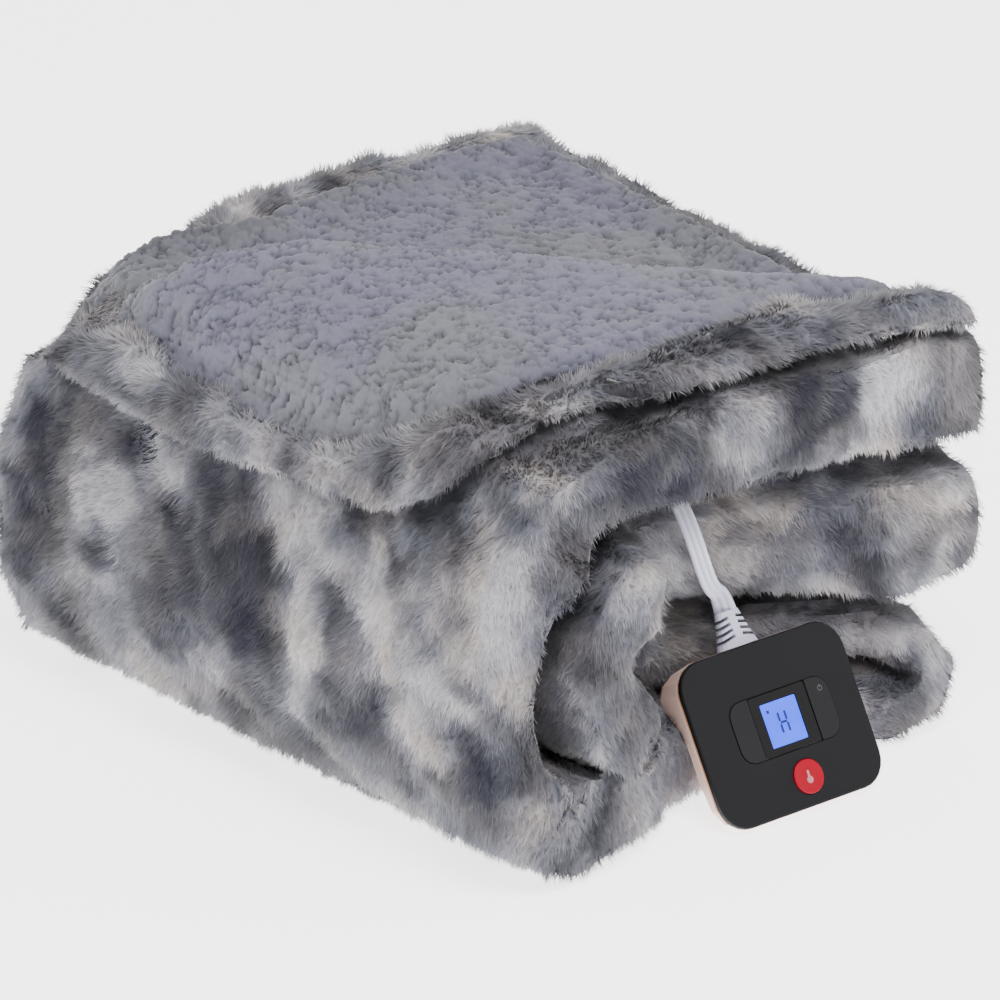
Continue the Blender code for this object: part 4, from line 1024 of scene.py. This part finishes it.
class BLANKET_OT_lead(bpy.types.Operator):
    """The flat lead of three strands, from the strain relief into the fold"""

    bl_idname = "blanket.lead"
    bl_label = "Lead"

    def execute(self, context):
        route = [Vector(point) for point in LEAD_ROUTE]
        centre = []
        for k in range(len(route) - 1):
            before, after = route[max(k - 1, 0)], route[min(k + 2, len(route) - 1)]
            for step in range(LEAD_STEPS):
                centre.append(blended(before, route[k], route[k + 1], after, step / LEAD_STEPS))
        centre.append(route[-1])
        outline = strand_outline()
        view = towards_camera()
        bm = bmesh.new()
        rings = []
        for k, here in enumerate(centre):
            along = (centre[min(k + 1, len(centre) - 1)] - centre[max(k - 1, 0)]).normalized()
            inside = float(fade(here.y, -0.155, 0.025)) if k > FOLD_RING else 0.0
            facing = view.lerp(Vector((0.0, 0.0, 1.0)), inside)
            across = along.cross(facing).normalized()
            out = across.cross(along)
            spread = 1.0 + 0.30 * max(0.0, 1 - k / RELIEF_RINGS)
            rings.append([bm.verts.new(here + across * x * spread + out * z) for x, z in outline])
        size = len(outline)
        for one, two in zip(rings, rings[1:]):
            for k in range(size):
                after = (k + 1) % size
                bm.faces.new((one[k], one[after], two[after], two[k]))
        bm.faces.new(rings[0])
        bm.faces.new(rings[-1][::-1])
        bmesh.ops.recalc_face_normals(bm, faces=bm.faces)
        mesh = bpy.data.meshes.new("flat_lead")
        bm.to_mesh(mesh)
        bm.free()
        mesh.shade_smooth()
        mesh.set_sharp_from_angle(angle=math.radians(55))
        mesh.materials.append(material_once("lead_grey", lead_material))
        lead = link_piece("flat_lead", mesh)
        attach(lead, BLANKET)
        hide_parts("controller_lead")
        return {"FINISHED"}


def blended(a, b, c, d, share):
    """A point between b and c on the smooth curve through a, b, c and d."""
    one = (c - a) / 2
    two = (d - b) / 2
    square, cube = share * share, share**3
    start = b * (2 * cube - 3 * square + 1) + one * (cube - 2 * square + share)
    return start + c * (3 * square - 2 * cube) + two * (cube - square)


def highest(node):
    """How far a CAD node reaches out of the face."""
    return max((vert.co - FACE_MIDDLE).dot(FACE_OUT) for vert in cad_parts[node].data.vertices)


def raised_mark(name, body, material, place, parts):
    """Flat marks on the face: bars as (x, y, width, height, turn) and rings as (x, y, radius, width)."""
    bpy.ops.object.select_all(action="DESELECT")
    made = None
    for part in parts:
        if len(part) == 5:
            x, y, width, height, turn = part
            turned = (0, 0, math.radians(turn))
            bpy.ops.mesh.primitive_cube_add(size=1.0, location=(x, y, 0.0), rotation=turned)
            bpy.context.active_object.scale = (width, height, MARK_HEIGHT)
        else:
            x, y, radius, width = part
            sizes = {"major_radius": radius, "minor_radius": width / 2}
            segments = {"major_segments": 32, "minor_segments": 6}
            bpy.ops.mesh.primitive_torus_add(location=(x, y, 0.0), **sizes, **segments)
            bpy.context.active_object.scale = (1.0, 1.0, MARK_HEIGHT / width)
        piece = bpy.context.active_object
        bpy.ops.object.transform_apply(location=True, rotation=True, scale=True)
        if made is None:
            made = piece
        else:
            choose(piece)
            made.select_set(True)
            bpy.context.view_layer.objects.active = made
            bpy.ops.object.join()
    made.name = name
    made.data.name = name
    made.data.transform(face_matrix(*place))
    made.data.materials.clear()
    made.data.materials.append(material)
    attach(made, body)
    return made


class BLANKET_OT_controller(bpy.types.Operator):
    """Finish of the controller's pieces and the marks on its face"""

    bl_idname = "blanket.controller"
    bl_label = "Controller"

    def execute(self, context):
        settings = context.scene.blanket_controller
        keys = mottled("key_black", (0.0065, 0.0065, 0.0075), 0.36, 25.0, 0.08, 0.2, 0.22)[0]
        plate = mottled("satin_black", (0.0055, 0.0055, 0.0065), 0.42, 25.0, 0.08, 0.25, 0.16)[0]
        glass = mottled("window_black", (0.0025, 0.0025, 0.003), 0.12, 25.0, 0.05, 0.0, 0.35)[0]
        finishes = {
            "controller_housing": shell_material(),
            "face_plate": plate,
            "display_window": glass,
            "display_screen": screen_material(),
            "key_left": keys,
            "key_right": keys,
            "power_button": mottled("button_red", settings.button, 0.38, 40.0, 0.05, 0.15, 0.12)[0],
            "strain_relief": material_once("lead_grey", lead_material),
        }
        for node, finish in finishes.items():
            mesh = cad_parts[node].data
            mesh.materials.clear()
            mesh.materials.append(finish)
        ink = mottled("display_ink", (0.012, 0.016, 0.14), 0.5, 60.0, 0.05, 0.0, 0.2)[0]
        grey = mottled("mark_grey", (0.085, 0.085, 0.09), 0.5, 60.0, 0.05, 0.0, 0.2)[0]
        pale = mottled("mark_pale", (0.42, 0.16, 0.17), 0.5, 60.0, 0.05, 0.0, 0.2)[0]
        bars = [(x, y, 0.0013, 0.0046, 0) for y in (0.0031, -0.0031) for x in (-0.0022, 0.0022)]
        bars += [(0.0, 0.0, 0.0040, 0.0012, 0), (-0.0078, 0.0072, 0.0016, 0.0016, 0)]
        on_screen = (*SCREEN_MIDDLE, highest("display_screen"))
        raised_mark("display_sign", BLANKET, ink, on_screen, bars)
        power = [(0.0, -0.0002, 0.0013, 0.0003), (0.0, 0.0010, 0.0003, 0.0016, 0)]
        raised_mark("power_mark", "right_key", grey, (*POWER_MARK, KEY_TOP), power)
        warm = [(0.0, 0.0011, 0.0014, 0.0042, 0), (0.0, -0.0018, 0.0014, 0.0011)]
        warm.append((0.0, -0.0018, 0.0016, 0.0016, 45))
        raised_mark("warmth_mark", "power_key", pale, (*BUTTON_MIDDLE, BUTTON_TOP), warm)
        return {"FINISHED"}


class BLANKET_OT_stage(bpy.types.Operator):
    """Camera at the photograph's angle, pale floor and soft light"""

    bl_idname = "blanket.stage"
    bl_label = "Stage"

    def execute(self, context):
        away = towards_camera()
        lens = bpy.data.cameras.new("camera")
        lens.lens = LENS
        lens.sensor_width = SENSOR
        lens.clip_end = 50.0
        camera = bpy.data.objects.new("camera", lens)
        context.scene.collection.objects.link(camera)
        camera.location = CAMERA_TARGET + away * CAMERA_DISTANCE
        camera.rotation_euler = (-away).to_track_quat("-Z", "Y").to_euler()
        context.scene.camera = camera

        bpy.ops.mesh.primitive_plane_add(size=12.0, location=(0.0, 0.0, 0.0))
        floor = context.active_object
        floor.name = "floor"
        made, shader, tone = mottled("floor_white", (0.93, 0.93, 0.935), 0.9, 3.0, 0.004, 0.0, 0.1)
        made.node_tree.links.new(tone, shader.inputs["Emission Color"])
        shader.inputs["Emission Strength"].default_value = FLOOR_GLOW
        floor.data.materials.append(made)

        world = bpy.data.worlds.new("studio")
        world.use_nodes = True
        sky = world.node_tree.nodes["Background"]
        sky.inputs["Color"].default_value = (1.0, 1.0, 1.0, 1.0)
        sky.inputs["Strength"].default_value = SKY_GLOW
        context.scene.world = world
        for name, place, size, power in LAMPS:
            light = bpy.data.lights.new(name, "AREA")
            light.size = size
            light.energy = power
            lamp = bpy.data.objects.new(name, light)
            lamp.location = place
            lamp.rotation_euler = (LAMP_TARGET - Vector(place)).to_track_quat("-Z", "Y").to_euler()
            context.scene.collection.objects.link(lamp)
        return {"FINISHED"}


class BLANKET_PT_panel(bpy.types.Panel):
    """The blanket's pieces, in the order in which they are made"""

    bl_label = "Folded heated blanket"
    bl_idname = "BLANKET_PT_panel"
    bl_space_type = "VIEW_3D"
    bl_region_type = "UI"
    bl_category = "Blanket"

    def draw(self, context):
        for name in PIECE_OPERATORS:
            self.layout.operator(f"blanket.{name}")


PIECE_OPERATORS = ("stage", "lead", "fur_cloth", "fur_pile", "sherpa", "controller")
SETTINGS = {
    "blanket_fur": FurSettings,
    "blanket_sherpa": SherpaSettings,
    "blanket_controller": ControllerSettings,
}
CLASSES = (
    *SETTINGS.values(),
    BLANKET_OT_stage,
    BLANKET_OT_fur_cloth,
    BLANKET_OT_fur_pile,
    BLANKET_OT_sherpa,
    BLANKET_OT_lead,
    BLANKET_OT_controller,
    BLANKET_PT_panel,
)


def register():
    for made in CLASSES:
        bpy.utils.register_class(made)
    for name, made in SETTINGS.items():
        setattr(bpy.types.Scene, name, PointerProperty(type=made))


def unregister():
    for name in SETTINGS:
        delattr(bpy.types.Scene, name)
    for made in reversed(CLASSES):
        bpy.utils.unregister_class(made)


def main():
    register()
    for name in PIECE_OPERATORS:
        getattr(bpy.ops.blanket, name)()


if __name__ == "__main__":
    main()
